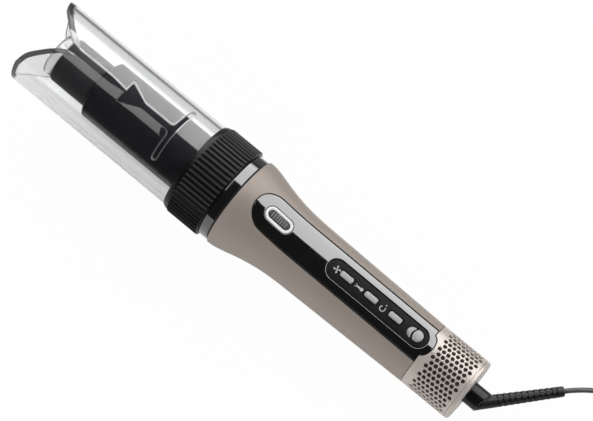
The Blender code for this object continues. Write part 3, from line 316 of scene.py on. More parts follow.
finishes = {
    "sleeve": lacquer("taupe lacquer", "sleeve", (0.300, 0.257, 0.226), 0.5, 0.12),
    "cap": lacquer("light taupe lacquer", "cap", (0.53, 0.48, 0.435), 0.36, 0.22),
    "silver": lacquer("silver lacquer", "silver", (0.35, 0.35, 0.355), 0.42, 0.15),
    "motor": metal("motor steel", "motor", (0.42, 0.43, 0.44), 0.32, (1, 9, 9)),
    "pin": metal("nickel pin", "pin", (0.62, 0.60, 0.56), 0.22, (6, 6, 1)),
    "clear": clearPlastic("clear plastic", "clear"),
    "board": circuitBoard("circuit board", "board"),
}
plastics = {
    # Each: name, slot, colour, roughness, grain's size and depth in mm, specular level, transmission, coat.
    "gloss_black": ("gloss black", "gloss_black", (0.0065, 0.006, 0.0065), 0.06, 4, 0.001, 1.0, 0.0, 1.0),
    "elbow": ("satin black", "gloss_black", (0.0065, 0.006, 0.0065), 0.2, 2, 0.001, 0.25),
    "keypad": ("dark keypad", "keypad", (0.009, 0.0095, 0.010), 0.6, 0.3, 0.02, 0.1),
    "printed": ("printed grey", "keypad", (0.46, 0.46, 0.45), 0.5, 0.3, 0.004),
    "white_ring": ("white ring", "white_ring", (0.97, 0.97, 0.96), 0.3, 0.8, 0.004),
    "ribbed": ("ribbed black", "ribbed", (0.004, 0.004, 0.004), 0.3, 0.35, 0.01, 0.2),
    "sliderGrey": ("slider grey", "ribbed", (0.009, 0.009, 0.010), 0.42, 0.3, 0.01),
    # The slider's ribs are black like it: their grey is a painted highlight.
    "ribGrey": ("rib grey", "ribbed", (0.17, 0.17, 0.175), 0.42, 0.3, 0.01),
    "barrel": ("black ceramic coat", "barrel", (0.016, 0.016, 0.019), 0.5, 1.5, 0.002, 0.06),
    # The tip has the barrel's black coat; its lighter black is a painted sheen.
    "tip": ("tip black", "barrel", (0.036, 0.036, 0.039), 0.4, 1.5, 0.002, 0.1),
    "relief": ("soft black", "relief", (0.010, 0.010, 0.010), 0.42, 0.5, 0.02, 0.3),
    "cord": ("dark grey cord", "cord", (0.055, 0.057, 0.052), 0.42, 0.7, 0.03),
    "tie": ("cord tie", "tie", (0.015, 0.015, 0.015), 0.55, 0.5, 0.05),
    "plug": ("plug black", "plug", (0.014, 0.014, 0.014), 0.42, 0.4, 0.03),
    "nylon": ("inner nylon", "nylon", (0.62, 0.62, 0.58), 0.5, 0.6, 0.02),
    "darkNylon": ("dark nylon", "nylon", (0.020, 0.018, 0.017), 0.55, 0.6, 0.02),
    "ceramic": ("heater ceramic", "ceramic", (0.66, 0.63, 0.55), 0.62, 0.4, 0.05),
    "lining": ("filter lining", "cap", (0.050, 0.040, 0.034), 0.75, 0.8, 0.05),
    "impeller": ("impeller black", "impeller", (0.015, 0.015, 0.015), 0.5, 0.4, 0.02),
    # The chamber's cut edges carry painted light and shade: a painted dark rim on the lobes' sides, a frosted
    # rim with painted light along the notch, a painted highlight on the slits' +Y edges and painted shade on
    # the others.
    "smokyEdge": ("smoky edge", "clear", (0.035, 0.036, 0.033), 0.14, 3, 0.002, 0.5, 0.45),
    "frostedEdge": ("frosted edge", "clear", (0.86, 0.85, 0.85), 0.2, 1.5, 0.002, 0.5, 0.55),
    "paleEdge": ("pale edge", "clear", (0.93, 0.93, 0.94), 0.25, 1.5, 0.002, 0.5, 0.15),
    "dimEdge": ("dim edge", "clear", (0.20, 0.20, 0.20), 0.3, 1.5, 0.002, 0.5, 0.4),
}
for key, values in plastics.items():
    finishes[key] = moulded(*values)
for node, thing in frame["nodes"].items():
    thing.data.materials.clear()
    finish = "darkNylon" if node in ("fan_spider", "chassis") else slotOf[node]
    thing.data.materials.append(finishes[finish].material)
print("finishes made")


# Shapes
def asMesh(name, bm, matrix):
    bmesh.ops.recalc_face_normals(bm, faces=bm.faces)
    bm.transform(matrix)
    mesh = bpy.data.meshes.new(name)
    bm.to_mesh(mesh)
    bm.free()
    return mesh


def keepPiece(name, bm, finish, body, replaced=None, matrix=toolMatrix, sharp=sharpFrom):
    mesh = asMesh(name, bm, matrix)
    mesh.materials.append(finishes[finish].material)
    mesh.shade_smooth()
    mesh.set_sharp_from_angle(angle=sharp)
    thing = addThing(name, mesh)
    if replaced:
        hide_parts(replaced)
    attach(thing, body)
    print(name, len(mesh.polygons), "faces")
    return thing


def cutAway(thing, bm):
    cutter = addThing("cutter", asMesh("cutter", bm, toolMatrix))
    modifier = thing.modifiers.new("cut", "BOOLEAN")
    modifier.object, modifier.operation, modifier.solver = cutter, "DIFFERENCE", "EXACT"
    bpy.context.view_layer.update()
    mesh = bpy.data.meshes.new_from_object(thing.evaluated_get(bpy.context.evaluated_depsgraph_get()))
    thing.modifiers.clear()
    old, thing.data = thing.data, mesh
    bpy.data.meshes.remove(old)
    bpy.data.objects.remove(cutter)
    mesh.set_sharp_from_angle(angle=sharpFrom)
    return thing


def rounded(outline, arc=4):  # (x, r, round) corners into outline points
    points = []
    count = len(outline)
    for i, (x, r, radius) in enumerate(outline):
        here = Vector((x, r))
        if not radius:
            points.append((x, r))
            continue
        before = Vector(outline[i - 1][:2]) - here
        after = Vector(outline[(i + 1) % count][:2]) - here
        leg = radius / math.tan(before.angle(after) / 2)
        start = here + before.normalized() * min(leg, before.length / 2)
        end = here + after.normalized() * min(leg, after.length / 2)
        for k in range(arc + 1):
            t = k / arc
            points.append(tuple(start * (1 - t) ** 2 + here * (2 * t * (1 - t)) + end * t * t))
    return points


def arcAround(x, y, wide, high, start, end, steps):
    turns = [start + (end - start) * k / steps for k in range(steps + 1)]
    return [(x + wide * math.cos(turn), y + high * math.sin(turn)) for turn in turns]


def pill(length, width, x=0.0, y=0.0, arc=12):
    r, flat = width / 2, (length - width) / 2
    points = []
    for side in (1, -1):
        points += arcAround(x + side * flat, y, side * r, side * r, -quarter, quarter, arc)
    return points


def smoothLine(points, steps):  # a curve through the points
    line = []
    longer = [points[0] * 2 - points[1]] + points + [points[-1] * 2 - points[-2]]
    for a, b, c, d in zip(longer, longer[1:], longer[2:], longer[3:]):
        square, cube = a * 2 - b * 5 + c * 4 - d, b * 3 - a - c * 3 + d
        for k in range(steps):
            t = k / steps
            line.append((b * 2 + (c - a) * t + square * t ** 2 + cube * t ** 3) / 2)
    return line + [points[-1]]


def inset(points, distance, leastLean=0.45):
    # Moves an outline to its left-hand side, by one distance or by each point's own.
    moved = []
    count = len(points)
    distances = distance if isinstance(distance, list) else [distance] * count
    for i in range(count):
        here = Vector(points[i])
        before = (here - Vector(points[i - 1])).normalized()
        after = (Vector(points[(i + 1) % count]) - here).normalized()
        first, second = Vector((-before.y, before.x)), Vector((-after.y, after.x))
        lean = (first + second).normalized()
        moved.append(tuple(here + lean * (distances[i] / max(lean.dot(first), leastLean))))
    return moved


def skin(bm, rows, closed=True):  # faces between neighbouring rows of vertices
    for one, two in zip(rows, rows[1:]):
        for i in range(len(one) if closed else len(one) - 1):
            j = (i + 1) % len(one)
            bm.faces.new((one[i], one[j], two[j], two[i]))


def lathe(profile, steps=144, swell=None):  # turns a closed (x, r) outline about X
    bm = bmesh.new()
    rings = []
    for x, r in profile:
        ring = []
        for i in range(steps if r > tiny else 1):
            turn = tau * i / steps
            radius = r + (swell(x, r, turn) if swell and r else 0)
            ring.append(bm.verts.new((x, radius * math.sin(turn), radius * math.cos(turn))))
        rings.append(ring)
    for one, two in zip(rings, rings[1:] + rings[:1]):
        for i in range(max(len(one), len(two))):
            j = (i + 1) % steps
            if len(one) == len(two) == steps:
                bm.faces.new((one[i], two[i], two[j], one[j]))
            elif len(two) == steps:
                bm.faces.new((one[0], two[i], two[j]))
            elif len(one) == steps:
                bm.faces.new((one[i], two[0], one[j]))
    return bm


def plate(outline, holes, low, high, edge, place, stepX, stepY, lowEdge=0.0, cuts=(), band=None, arc=3):
    # A flat plate with rounded edges, then laid on a curved surface by place(x, y, height).
    bm = bmesh.new()
    rims = ([], [])

    def bisect(point, normal, **settings):
        whole = bm.verts[:] + bm.edges[:] + bm.faces[:]
        bmesh.ops.bisect_plane(bm, geom=whole, plane_co=point, plane_no=normal, dist=tiny, **settings)

    for points in [outline] + [list(reversed(hole)) for hole in holes]:
        levels = []
        for k in range(arc + 1 if lowEdge else 1):
            turn = quarter * k / arc
            levels.append((lowEdge * (1 - math.sin(turn)), low + lowEdge * (1 - math.cos(turn))))
        for k in range(arc + 1 if edge else 1):
            turn = quarter * k / arc
            levels.append((edge * (1 - math.cos(turn)), high - edge * (1 - math.sin(turn))))
        if band:               # one more line on the upper face, a band's width from the edge
            levels.append(([edge + band(*p) for p in points], high))
        rings = []
        for shift, z in levels:
            rings.append([bm.verts.new((*p, z)) for p in (inset(points, shift) if shift else points)])
        skin(bm, rings)
        for rim, ring in zip(rims, (rings[0], rings[-1])):
            rim += [bm.edges.get((a, b)) or bm.edges.new((a, b)) for a, b in zip(ring, ring[1:] + ring[:1])]
    for rim in rims:
        bmesh.ops.triangle_fill(bm, use_beauty=True, edges=rim, normal=(0, 0, 1))
    for axis, step in ((0, stepX), (1, stepY)):
        values = [v.co[axis] for v in bm.verts]
        normal = Vector([float(k == axis) for k in range(3)])
        for k in range(math.ceil(min(values) / step), math.floor(max(values) / step) + 1):
            bisect(normal * (k * step), normal)
    for point, normal in cuts:
        bisect(point, normal, clear_outer=True)
    for v in bm.verts:
        v.co = place(*v.co)
    return bm


# Mains cord
cord = {
    "radius": 1.6 * mm,
    "turnGap": 0.6 * mm,
    "coilRadius": 19.2 * mm,
    "layers": 4,
    "loops": 3,                # in each layer
    "pointsPerLoop": 48,
    "climb": 0.5,              # turns in which it climbs a layer
    "base": 2.7 * mm,          # lowest turn's middle above the table
    "layTurn": math.radians(42),
    "ahead": 46.0 * mm,
    "aside": 2.6 * mm,
    "lastTurn": 0.25,
    "leadShares": ((0.27, 0.34, 0.90), (0.50, 0.66, 0.52), (0.74, 0.91, 0.13)),
    "plugAhead": 42.0 * mm,
    "plugAside": 9.0 * mm,
    "plugTurn": math.radians(10),
    "plugHeight": 13.7 * mm,
    "tailShares": ((0.385, 0.106, 0.22), (0.712, 0.459, 0.88)),
    "smoothSteps": 5,
    "bevelSteps": 3,
}
relief = {
    "bend": math.radians(48.9),
    "behindCover": 10.0 * mm,
    "length": 48.5 * mm,
    "rootRadius": 4.0 * mm,
    "endRadius": 3.15 * mm,
    "plainRoot": 8.0 * mm,
    "plainEnd": 4.2 * mm,
    "blocks": 10,              # in each row
    "rows": 6,
    "groove": 0.85 * mm,
    "grooveHalf": 0.55 * mm,
    "ridgeHalf": 0.35 * mm,
    "ridgeDrop": 0.12 * mm,
    "slope": 0.2 * mm,
    "grooveLines": (0.5 * mm, 0.62 * mm, 0.76 * mm),    # from a groove's middle
    "endRound": 1.0 * mm,
    "endDepth": 1.0 * mm,
    "cordClear": 0.05 * mm,
    "exitGap": 0.3 * mm,
    "cut": math.radians(11.8),  # slant of the elbow's end
    "cutGap": 0.3 * mm,
}
reliefStart = span("end_cover")[1].x + relief["behindCover"]
reliefMatrix = toolMatrix @ Matrix.Translation((reliefStart, 0, 0)) @ Matrix.Rotation(relief["bend"], 4, "Z")
cordExit = reliefMatrix @ Vector((relief["length"] + relief["exitGap"], 0, 0))
cordWay = (reliefMatrix.to_3x3() @ Vector((1, 0, 0))).normalized()


def halfSpace(side):  # the room on one side of the slanted cut between elbow and relief
    bm = bmesh.new()
    bmesh.ops.create_cube(bm, size=2 * relief["length"])
    bmesh.ops.translate(bm, vec=(side * relief["length"], 0, 0), verts=bm.verts)
    place = Matrix.Translation((reliefStart - side * relief["cutGap"] / 2, 0, 0))
    bm.transform(place @ Matrix.Rotation(-relief["cut"], 4, "Z"))
    return bm


def coilRoute():
    width, pitch = 2 * cord["radius"], 2 * cord["radius"] + cord["turnGap"]
    outer = cord["coilRadius"] + pitch * cord["loops"] / 2
    points = []
    for k in range(round((cord["layers"] * cord["loops"] + cord["lastTurn"]) * cord["pointsPerLoop"]) + 1):
        turns = k / cord["pointsPerLoop"]
        layer = min(turns // cord["loops"], cord["layers"] - 1)
        along = turns - layer * cord["loops"]
        radius = outer - pitch * (along if layer % 2 == 0 else cord["loops"] - along)
        climbed = 0.0
        for reversal in range(1, cord["layers"]):
            share = min(max((turns - reversal * cord["loops"]) / cord["climb"] + 0.5, 0.0), 1.0)
            climbed += share * share * (3 - 2 * share)
        x, y = radius * math.sin(tau * turns), radius * math.cos(tau * turns)
        points.append(Vector((x, y, cord["base"] + pitch * climbed)))
    start = points[0] - Vector((width, 0, 0))
    return [start] + points + [points[-1] - Vector((0, width, 0))], outer


def mainsCord():
    width = 2 * cord["radius"]
    loops, outer = coilRoute()
    along = Vector((math.cos(cord["layTurn"]), math.sin(cord["layTurn"]), 0))
    across = Vector((-along.y, along.x, 0))
    middle = cordExit + along * cord["ahead"] + across * (cord["aside"] - outer)
    middle.z = 0
    coil = Matrix.Translation(middle) @ Matrix.Rotation(cord["layTurn"], 4, "Z")
    toCoil = coil.inverted()
    first, second, last = toCoil @ cordExit, toCoil @ (cordExit + cordWay * width), loops[0]
    route, run = [first, second], last - first
    for x, y, z in cord["leadShares"]:
        route.append(Vector((first.x + run.x * x, first.y + run.y * y, last.z - run.z * z)))
    route += [last - Vector((width, 0, 0)), last]
    leave = loops[-1]
    run = Vector((-cord["plugAside"], -cord["plugAhead"], cord["plugHeight"] / 2 - leave.z))
    plugAt = leave + run
    heading = -quarter - cord["plugTurn"]
    plugWay = Vector((math.cos(heading), math.sin(heading), 0))
    tail = [leave, leave - Vector((0, width, 0))]
    tail += [leave + Vector((run.x * y, run.y * x, run.z * z)) for x, y, z in cord["tailShares"]]
    tail += [plugAt - plugWay * width, plugAt + plugWay * width]
    points = smoothLine(route, cord["smoothSteps"])[:-1] + loops[:-1] + smoothLine(tail, cord["smoothSteps"])
    curve = bpy.data.curves.new("mains_cord", "CURVE")
    curve.dimensions = "3D"
    curve.bevel_depth, curve.bevel_resolution = cord["radius"], cord["bevelSteps"]
    curve.use_fill_caps = True
    line = curve.splines.new("POLY")
    line.points.add(len(points) - 1)
    for slot, place in zip(line.points, points):
        slot.co = (*(coil @ place), 1.0)
    curve.materials.append(finishes["cord"].material)
    thing = addThing("mains_cord", curve)
    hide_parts("mains_lead", "cord_coil", "plug_lead")
    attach(thing, "handle")
    length = sum((b - a).length for a, b in zip(points, points[1:]))
    print(f"cord of {length:.3f} m")
    return thing, length


def strainRelief():
    size = relief
    end, bottom = size["length"], size["length"] - size["plainEnd"]
    pitch = (bottom - size["plainRoot"]) / size["blocks"]
    root = -3 * size["rootRadius"]

    def radiusAt(x):
        share = min(max(x / end, 0), 1)
        return size["rootRadius"] + (size["endRadius"] - size["rootRadius"]) * share

    def swell(x, r, turn):
        along = (x - size["plainRoot"]) / pitch
        if not 0 < along < size["blocks"] or r < size["endRadius"] - size["endRound"]:
            return 0
        gap = abs(along - round(along)) * pitch
        row = turn / tau * size["rows"]
        ridge = abs(row - round(row)) * tau * r / size["rows"]
        deep = 1 if gap < size["grooveHalf"] else max(0, 1 - (gap - size["grooveHalf"]) / size["slope"])
        bare = min(1, max(0, (ridge - size["ridgeHalf"]) / size["slope"]))
        return -size["groove"] * deep * bare - size["ridgeDrop"] * (1 - bare)

    stations = [size["plainRoot"]]
    for k in range(size["blocks"]):
        start = size["plainRoot"] + k * pitch
        stations += [start + s for s in size["grooveLines"]]
        stations += [start + pitch - s for s in reversed(size["grooveLines"])]
    stations.append(bottom)
    profile = [(root, 0), (root, radiusAt(0))] + [(x, radiusAt(x)) for x in stations]
    profile += rounded([
        (end - 2 * size["endRound"], size["endRadius"], 0), (end, size["endRadius"], size["endRound"]),
        (end, cord["radius"], 0),
    ])
    profile += [(end - size["endDepth"], cord["radius"] + size["cordClear"]), (end - size["endDepth"], 0)]
    bm = lathe(profile, steps=96, swell=swell)
    thing = keepPiece("relief_sleeve", bm, "relief", "handle", "strain_relief", reliefMatrix)
    return cutAway(thing, halfSpace(-1))


cordThing, cordRun = mainsCord()
reliefThing = strainRelief()
print("cord laid")


# Clear chamber
chamber = {
    "wall": 2.7 * mm,
    "edge": 0.5 * mm,
    "mouthDepth": 26.4 * mm,
    "mouthShares": (
        (0.00, 0.866), (0.09, 0.70), (0.20, 0.58), (0.333, 0.46), (0.545, 0.275), (0.773, 0.13), (1.0, 0.078),
    ),
    "band": 2.6 * mm,          # band of painted rim colour along the lobes and the notch
    "bandLeast": 0.12 * mm,
    "lowerShare": 0.9,         # depth of the notch below, as a share of the one above
    # Turns from the top between which the lobes' edges get the painted dark rim.
    "darkRimFrom": (math.radians(17), math.radians(7)),   # on the +Y lobe, on the other
    "darkRimTo": math.radians(97),
    "slitShares": (0.27, 0.695),
    "slitHalf": 2.2 * mm,
    "throatHalf": 0.9 * mm,
    "throatRound": 0.4 * mm,
    "barbShare": 0.4657,
    "barbHalf": 8.2 * mm,
    "barbLength": 13.5 * mm,
    "barbRound": 0.8 * mm,
    "railHalf": 2.15 * mm,
    "railRound": 2.0 * mm,
    "crossX": -18.9 * mm,
    "crossLead": 1.2 * mm,
    "crossWidth": 2.8 * mm,
    "crossTurn": math.radians(43),
    "crossFillet": 3.0 * mm,
    "grid": (6 * mm, 1.2 * mm),
    "overlap": 2 * mm,
    "seam": 0.002 * mm,
    "sharpFrom": math.radians(50),
    "rimLean": 0.97,           # what leans more from the round wall is a cut edge
    "evenFrom": 0.7,           # how alike two directions are where the round wall's own is used
}
chamberLow, chamberHigh = span("clear_chamber")
chamberRadius = reach("clear_chamber")
chamberFoot = chamberLow.x + chamber["mouthDepth"]


def chamberSide():  # one side of the mouth, slit, barb, rail and cross slot, on the rolled-out tube
    size, radius, mouth, foot = chamber, chamberRadius, chamberLow.x, chamberFoot
    lip = [Vector((mouth + a * size["mouthDepth"], radius * math.asin(b))) for a, b in size["mouthShares"]]
    side = [tuple(p) for p in smoothLine(lip, steps=5)]
    barb = mouth * size["barbShare"]
    side += [(foot + share * (barb - foot), size["slitHalf"]) for share in size["slitShares"]]
    half, fillet, rail = size["crossWidth"] / 2, size["crossFillet"], size["railHalf"]
    corner = size["crossX"] - half
    side += rounded([
        (*side[-1], 0), (barb, size["throatHalf"], size["throatRound"]),
        (barb, size["barbHalf"], size["barbRound"]), (barb + size["barbLength"], rail, size["railRound"]),
        (corner - fillet, rail, 0),
    ], arc=3)[1:-1]
    side += arcAround(corner - fillet, rail + fillet, fillet, fillet, -quarter, 0, steps=6)
    end = size["crossTurn"] * radius
    last = end - half

    def bow(y):
        return size["crossX"] + size["crossLead"] * (y / end) ** 2

    front = [rail + fillet + (last - rail - fillet) * k / 6 for k in range(1, 7)]
    side += [(bow(y) - half, y) for y in front]
    side += arcAround(bow(last), last, -half, half, 0, math.pi, steps=8)[1:]
    side += [(bow(y) + half, y) for y in reversed([last * k / 6 for k in range(1, 6)])]
    return side


def rimBand(x, y):  # the painted rim band's width, which fades towards the slit
    near = min(max((chamberFoot - x) / chamber["band"], 0), 1)
    return chamber["bandLeast"] + (chamber["band"] - chamber["bandLeast"]) * near


def clearChamber():
    size, radius = chamber, chamberRadius
    over = math.pi * radius + size["overlap"]
    side = chamberSide()
    root, mouth = chamberHigh.x, chamberLow.x
    notch = [p for p in side if p[0] < chamberFoot]
    under = [(mouth + (x - mouth) * size["lowerShare"], math.pi * radius - y) for x, y in reversed(notch)]
    half = [(root, over), (under[0][0], over)] + under + side
    outline = half + [(x, -y) for x, y in reversed(half)]

    def place(x, y, height):
        turn, r = y / radius, radius - size["wall"] + height
        return (x, r * math.sin(turn), r * math.cos(turn))

    cuts = [((0, 0, 0), (0, -1, 0)), ((0, math.pi * radius, 0), (0, 1, 0))]
    bm = plate(outline, [], 0, size["wall"], size["edge"], place, *size["grid"], size["edge"], cuts, rimBand)
    copy = bmesh.ops.duplicate(bm, geom=bm.verts[:] + bm.edges[:] + bm.faces[:])["geom"]
    for v in copy:
        if isinstance(v, bmesh.types.BMVert):
            v.co.y = -v.co.y
    bmesh.ops.remove_doubles(bm, verts=bm.verts, dist=size["seam"])
    thing = keepPiece("clear_tube", bm, "clear", "chamber", "clear_chamber", sharp=size["sharpFrom"])
    dressWall(thing.data, [Vector(p) for p in under[-2:] + notch])


def fromLip(here, lip):  # distance from the mouth's line, or a metre where no stretch of it lies beside
    feet = [intersect_point_line(here, a, b) for a, b in zip(lip, lip[1:])]
    return min(((here - foot.to_2d()).length for foot, share in feet if 0 <= share <= 1), default=1)


def dressWall(mesh, lip):  # even shading on the round wall, painted light and shade on the cut edges
    size = chamber
    edges = ["smokyEdge", "frostedEdge", "paleEdge", "dimEdge"]
    for edge in edges:
        mesh.materials.append(finishes[edge].material)
    turns, back = toTool.to_3x3(), toolMatrix.to_3x3()
    places = [toTool @ v.co for v in mesh.vertices]
    outward = [Vector((0, p.y, p.z)).normalized() for p in places]
    facing = {}                # each vertex on the wall's two faces: 1 outside, -1 inside
    for polygon in mesh.polygons:
        middle = toTool @ polygon.center
        lean = Vector((0, middle.y, middle.z)).normalized().dot(turns @ polygon.normal)
        turn = abs(math.atan2(middle.y, middle.z))
        rim = abs(lean) <= size["rimLean"]
        if not rim:
            for i in polygon.vertices:
                facing[i] = math.copysign(1, lean)
        here = Vector((middle.x, turn * chamberRadius))
        if lean > size["rimLean"] and middle.x < chamberFoot:
            rim = fromLip(here, lip) < size["edge"] + rimBand(*here)
        edge = None
        # Painted dark rim on the lobes' sides and painted light along the notch; by the slits, a painted
        # highlight on the +Y edges and painted shade on the -Y edges from the cross slot towards the collar.
        if rim and middle.x < chamberFoot and turn < size["darkRimTo"]:
            edge = "smokyEdge" if turn > size["darkRimFrom"][middle.y < 0] else "frostedEdge"
        elif rim and chamberFoot <= middle.x < chamberHigh.x - size["wall"]:
            if middle.y > 0:
                edge = "paleEdge"
            elif middle.x > size["crossX"] - size["crossWidth"]:
                edge = "dimEdge"
        if edge:
            polygon.material_index = 1 + edges.index(edge)
    normals = [Vector(corner.vector) for corner in mesh.corner_normals]
    for loop in mesh.loops:
        normal = back @ outward[loop.vertex_index] * facing.get(loop.vertex_index, 0)
        if normal.dot(normals[loop.index]) > size["evenFrom"]:
            normals[loop.index] = normal
    mesh.normals_split_custom_set(normals)


clearChamber()

# Ribbed collar
collar = {
    "bore": 28.9 * mm,
    "backBore": 27.9 * mm,
    "rootGap": 0.3 * mm,       # behind the chamber's root
    "radius": 30.15 * mm,
    "ribs": 60,
    "ribHeight": 0.75 * mm,
    "valley": 0.25 * mm,
    "crestShare": 0.16,        # of a rib's pitch
    "footShare": 0.86,
    "ribsFrom": 3.3 * mm,
    "ribsTo": 25.9 * mm,
    "ribLead": 1.1 * mm,
    "ribTail": 0.25 * mm,
    "skin": 1.0 * mm,
    "stations": (8, 12, 16, 20, 24),            # in mm
    "tailStations": (0.25, 0.15, 0.05, 0),      # in mm ahead of the ribs' end
    "noseRound": 2.2 * mm,
    "noseDrop": 0.9 * mm,
    "noseArc": 0.7 * mm,
    "faceArc": 1.2 * mm,
    "backDrop": 0.8 * mm,
    "backArc": 0.4 * mm,
    "leadLines": 5,
    "sharpFrom": math.radians(60),
}


def gripCollar():
    size = collar
    front, rear = ends("grip_collar")
    radius, first, last, flat = size["radius"], size["ribsFrom"], size["ribsTo"], size["crestShare"]

    def swell(x, r, turn):
        if r < radius - size["skin"]:
            return 0
        lift = min(1, max(0, (x - first) / size["ribLead"])) * min(1, max(0, (last - x) / size["ribTail"]))
        place = abs((turn / tau * size["ribs"] + 0.5) % 1 - 0.5) * 2
        slope = min(1, (place - flat) / (size["footShare"] - flat))
        crest = 1 if place < flat else (0.5 + 0.5 * math.cos(math.pi * slope)) ** 2
        return size["ribHeight"] * math.sin(lift * quarter) * crest - size["valley"] * (1 - crest) * lift

    profile = rounded([
        (front, size["bore"], 0), (front, radius - size["noseDrop"], size["noseArc"]),
        (front + size["noseRound"], radius, size["faceArc"]), (first, radius, 0),
    ])
    lines = size["leadLines"]
    profile += [(first + size["ribLead"] * k / lines, radius) for k in range(1, lines + 1)]
    profile += [(x * mm, radius) for x in size["stations"]]
    profile += [(last - x * mm, radius) for x in size["tailStations"]]
    profile += rounded([
        (last, radius, 0), (rear, radius - size["backDrop"], size["backArc"]), (rear, size["backBore"], 0),
    ])[1:]
    root = chamberHigh.x + size["rootGap"]
    profile += [(root, size["backBore"]), (root, size["bore"])]
    bm = lathe(profile, steps=720, swell=swell)
    keepPiece("ribbed_collar", bm, "ribbed", "chamber", "grip_collar", sharp=size["sharpFrom"])


gripCollar()

# Neck ring, sleeve
neck = {
    "front": 7.1 * mm,         # ahead of the sleeve
    "rear": 0.3 * mm,
    "radius": 28.9 * mm,
    "bore": 24 * mm,
    "frontRound": 0.6 * mm,
    "bevel": 0.8 * mm,
    "bevelRound": 0.2 * mm,
}
sleeve = {
    "frontRadius": 29.8 * mm,
    "waistRadius": 22.2 * mm,
    "rearRadius": 20.6 * mm,
    "flare": 48.0 * mm,
    "shares": (
        (0.000, 1.00), (0.070, 0.98), (0.146, 0.90), (0.270, 0.71), (0.396, 0.50),
        (0.520, 0.33), (0.646, 0.19), (0.790, 0.08), (1.000, 0.00),
    ),
    "straightLines": 12,
    "round": 1.1 * mm,
    "face": 2.5 * mm,
    "lip": 3.2 * mm,
    "wall": 2.6 * mm,
    "capGap": 0.3 * mm,
}
handleFront = span("handle_shell")[0].x
capFront, capRear = ends("grille_cap")
handleRear = capFront - sleeve["capGap"]


def sleeveLine():
    size = sleeve
    waist, drop = size["waistRadius"], size["frontRadius"] - size["waistRadius"]
    flare = [Vector((handleFront + s * size["flare"], waist + k * drop)) for s, k in size["shares"]]
    line = smoothLine(flare, steps=4)
    last = line[-1]
    for k in range(1, size["straightLines"] + 1):
        share = k / size["straightLines"]
        x, r = last.x + (handleRear - last.x) * share, last.y + (size["rearRadius"] - last.y) * share
        line.append(Vector((x, r)))
    return line


sleevePoints = sleeveLine()


def onSleeve(x, y, height):  # a place in the plan of the controls, laid on the sleeve
    radius = sleevePoints[-1].y
    for a, b in zip(sleevePoints, sleevePoints[1:]):
        if x <= b.x:
            radius = a.y + (b.y - a.y) * (x - a.x) / (b.x - a.x)
            break
    turn = math.asin(max(-1, min(1, y / radius)))
    return (x, (radius + height) * math.sin(turn), (radius + height) * math.cos(turn))


strip = {
    "front": 10.9 * mm,
    "width": 23.4 * mm,
    "depth": 1.5 * mm,
    "base": 1.3 * mm,
    "lobeWidth": 14.6 * mm,
    "lobeReach": 3.6 * mm,
    "gap": 0.5 * mm,
    "edge": 0.45 * mm,
    "grid": (3 * mm, 1 * mm),
    "cutGrid": (4 * mm, 1.5 * mm),
    # Painted shade in the gap round the inlay: the dark sheet's clearance, drop and edge.
    "cutHeight": 4 * mm,
    "gapShadeClear": 0.03 * mm,
    "gapShadeDrop": 0.12 * mm,
    "gapShadeEdge": 0.05 * mm,
    "ringX": 28.1 * mm,
    "ringLength": 18.9 * mm,
    "ringWidth": 8.9 * mm,
    "ringBand": 1.8 * mm,
    "ringBase": 0.5 * mm,
    "ringProud": 0.7 * mm,
    "ringEdge": 0.8 * mm,
    "ringGap": 0.25 * mm,
    "keypadWidth": 12.8 * mm,
    "keypadSink": 0.45 * mm,
    "keypadDepth": 1 * mm,
    "keypadEdge": 0.25 * mm,
    "keypadGap": 0.3 * mm,
    "bedGap": 0.2 * mm,
    "bed": (-1.52 * mm, -1.46 * mm),
    "keyLength": 8.9 * mm,
    "keyWidth": 3.5 * mm,
    "keyCorner": 1.1 * mm,
    "keyGap": 0.8 * mm,
    "keyBase": 0.83 * mm,
    "keyProud": 0.45 * mm,
    "keyGrid": (2.5 * mm, 1 * mm),
    "slotLength": 11.2 * mm,
    "slotWidth": 7.8 * mm,
}
keyBodies = {"button_fan": "fan_key", "button_heat": "heat_key", "button_timer": "timer_key"}


def middleOf(node):
    return sum(ends(node)) / 2


ringAt = handleFront + strip["ringX"]
keypadAt, slotAt = middleOf("keypad_plate"), middleOf("power_slot_floor")
keypadLength = ends("keypad_plate")[1] - ends("keypad_plate")[0]


def onHandle(outline, low, high, edge=0.0, holes=(), grid=strip["grid"]):  # a plate laid on the sleeve
    return plate(outline, list(holes), low, high, edge, onSleeve, *grid)


def ringOutline(clear):
    return pill(strip["ringLength"] + 2 * clear, strip["ringWidth"] + 2 * clear, ringAt)


def keypadOutline(clear):
    return pill(keypadLength + 2 * clear, strip["keypadWidth"] + 2 * clear, keypadAt, arc=20)


def stripOutline(clear):
    r = strip["width"] / 2 + clear
    centre = handleFront + strip["front"] + strip["width"] / 2
    half, ahead = strip["lobeWidth"] / 2 + clear, sleeve["capGap"] + strip["lobeReach"] + clear
    nose = arcAround(centre, 0, r, r, quarter, 3 * quarter, steps=24)
    lobe = arcAround(handleRear, 0, ahead, half, -quarter, quarter, steps=16)
    return nose + [(handleRear + clear, -r)] + lobe + [(handleRear + clear, r)]


def keyOutline(x, clear):
    half, wide = strip["keyLength"] / 2 + clear, strip["keyWidth"] / 2 + clear
    places = ((half, -wide), (half, wide), (-half, wide), (-half, -wide))
    return rounded([(x + a, b, strip["keyCorner"] + clear) for a, b in places], arc=6)


def stripCutter(low):  # the room of the inlay
    return onHandle(stripOutline(strip["gap"]), low, strip["cutHeight"], grid=strip["cutGrid"])


def handleSleeve():
    size = sleeve
    line = [(p.x, p.y) for p in sleevePoints]
    front = [(handleFront, size["frontRadius"] - size["face"], 0), (*line[0], size["round"]), (*line[1], 0)]
    outer = rounded(front)[1:-1] + line[2:]
    inner = [(x, r - size["wall"]) for x, r in reversed(outer[6:])]
    profile = [(handleFront, size["frontRadius"] - size["lip"])] + outer + inner
    thing = keepPiece("handle_sleeve", lathe(profile, steps=180), "sleeve", "handle", "handle_shell")
    cutAway(thing, stripCutter(-strip["depth"]))


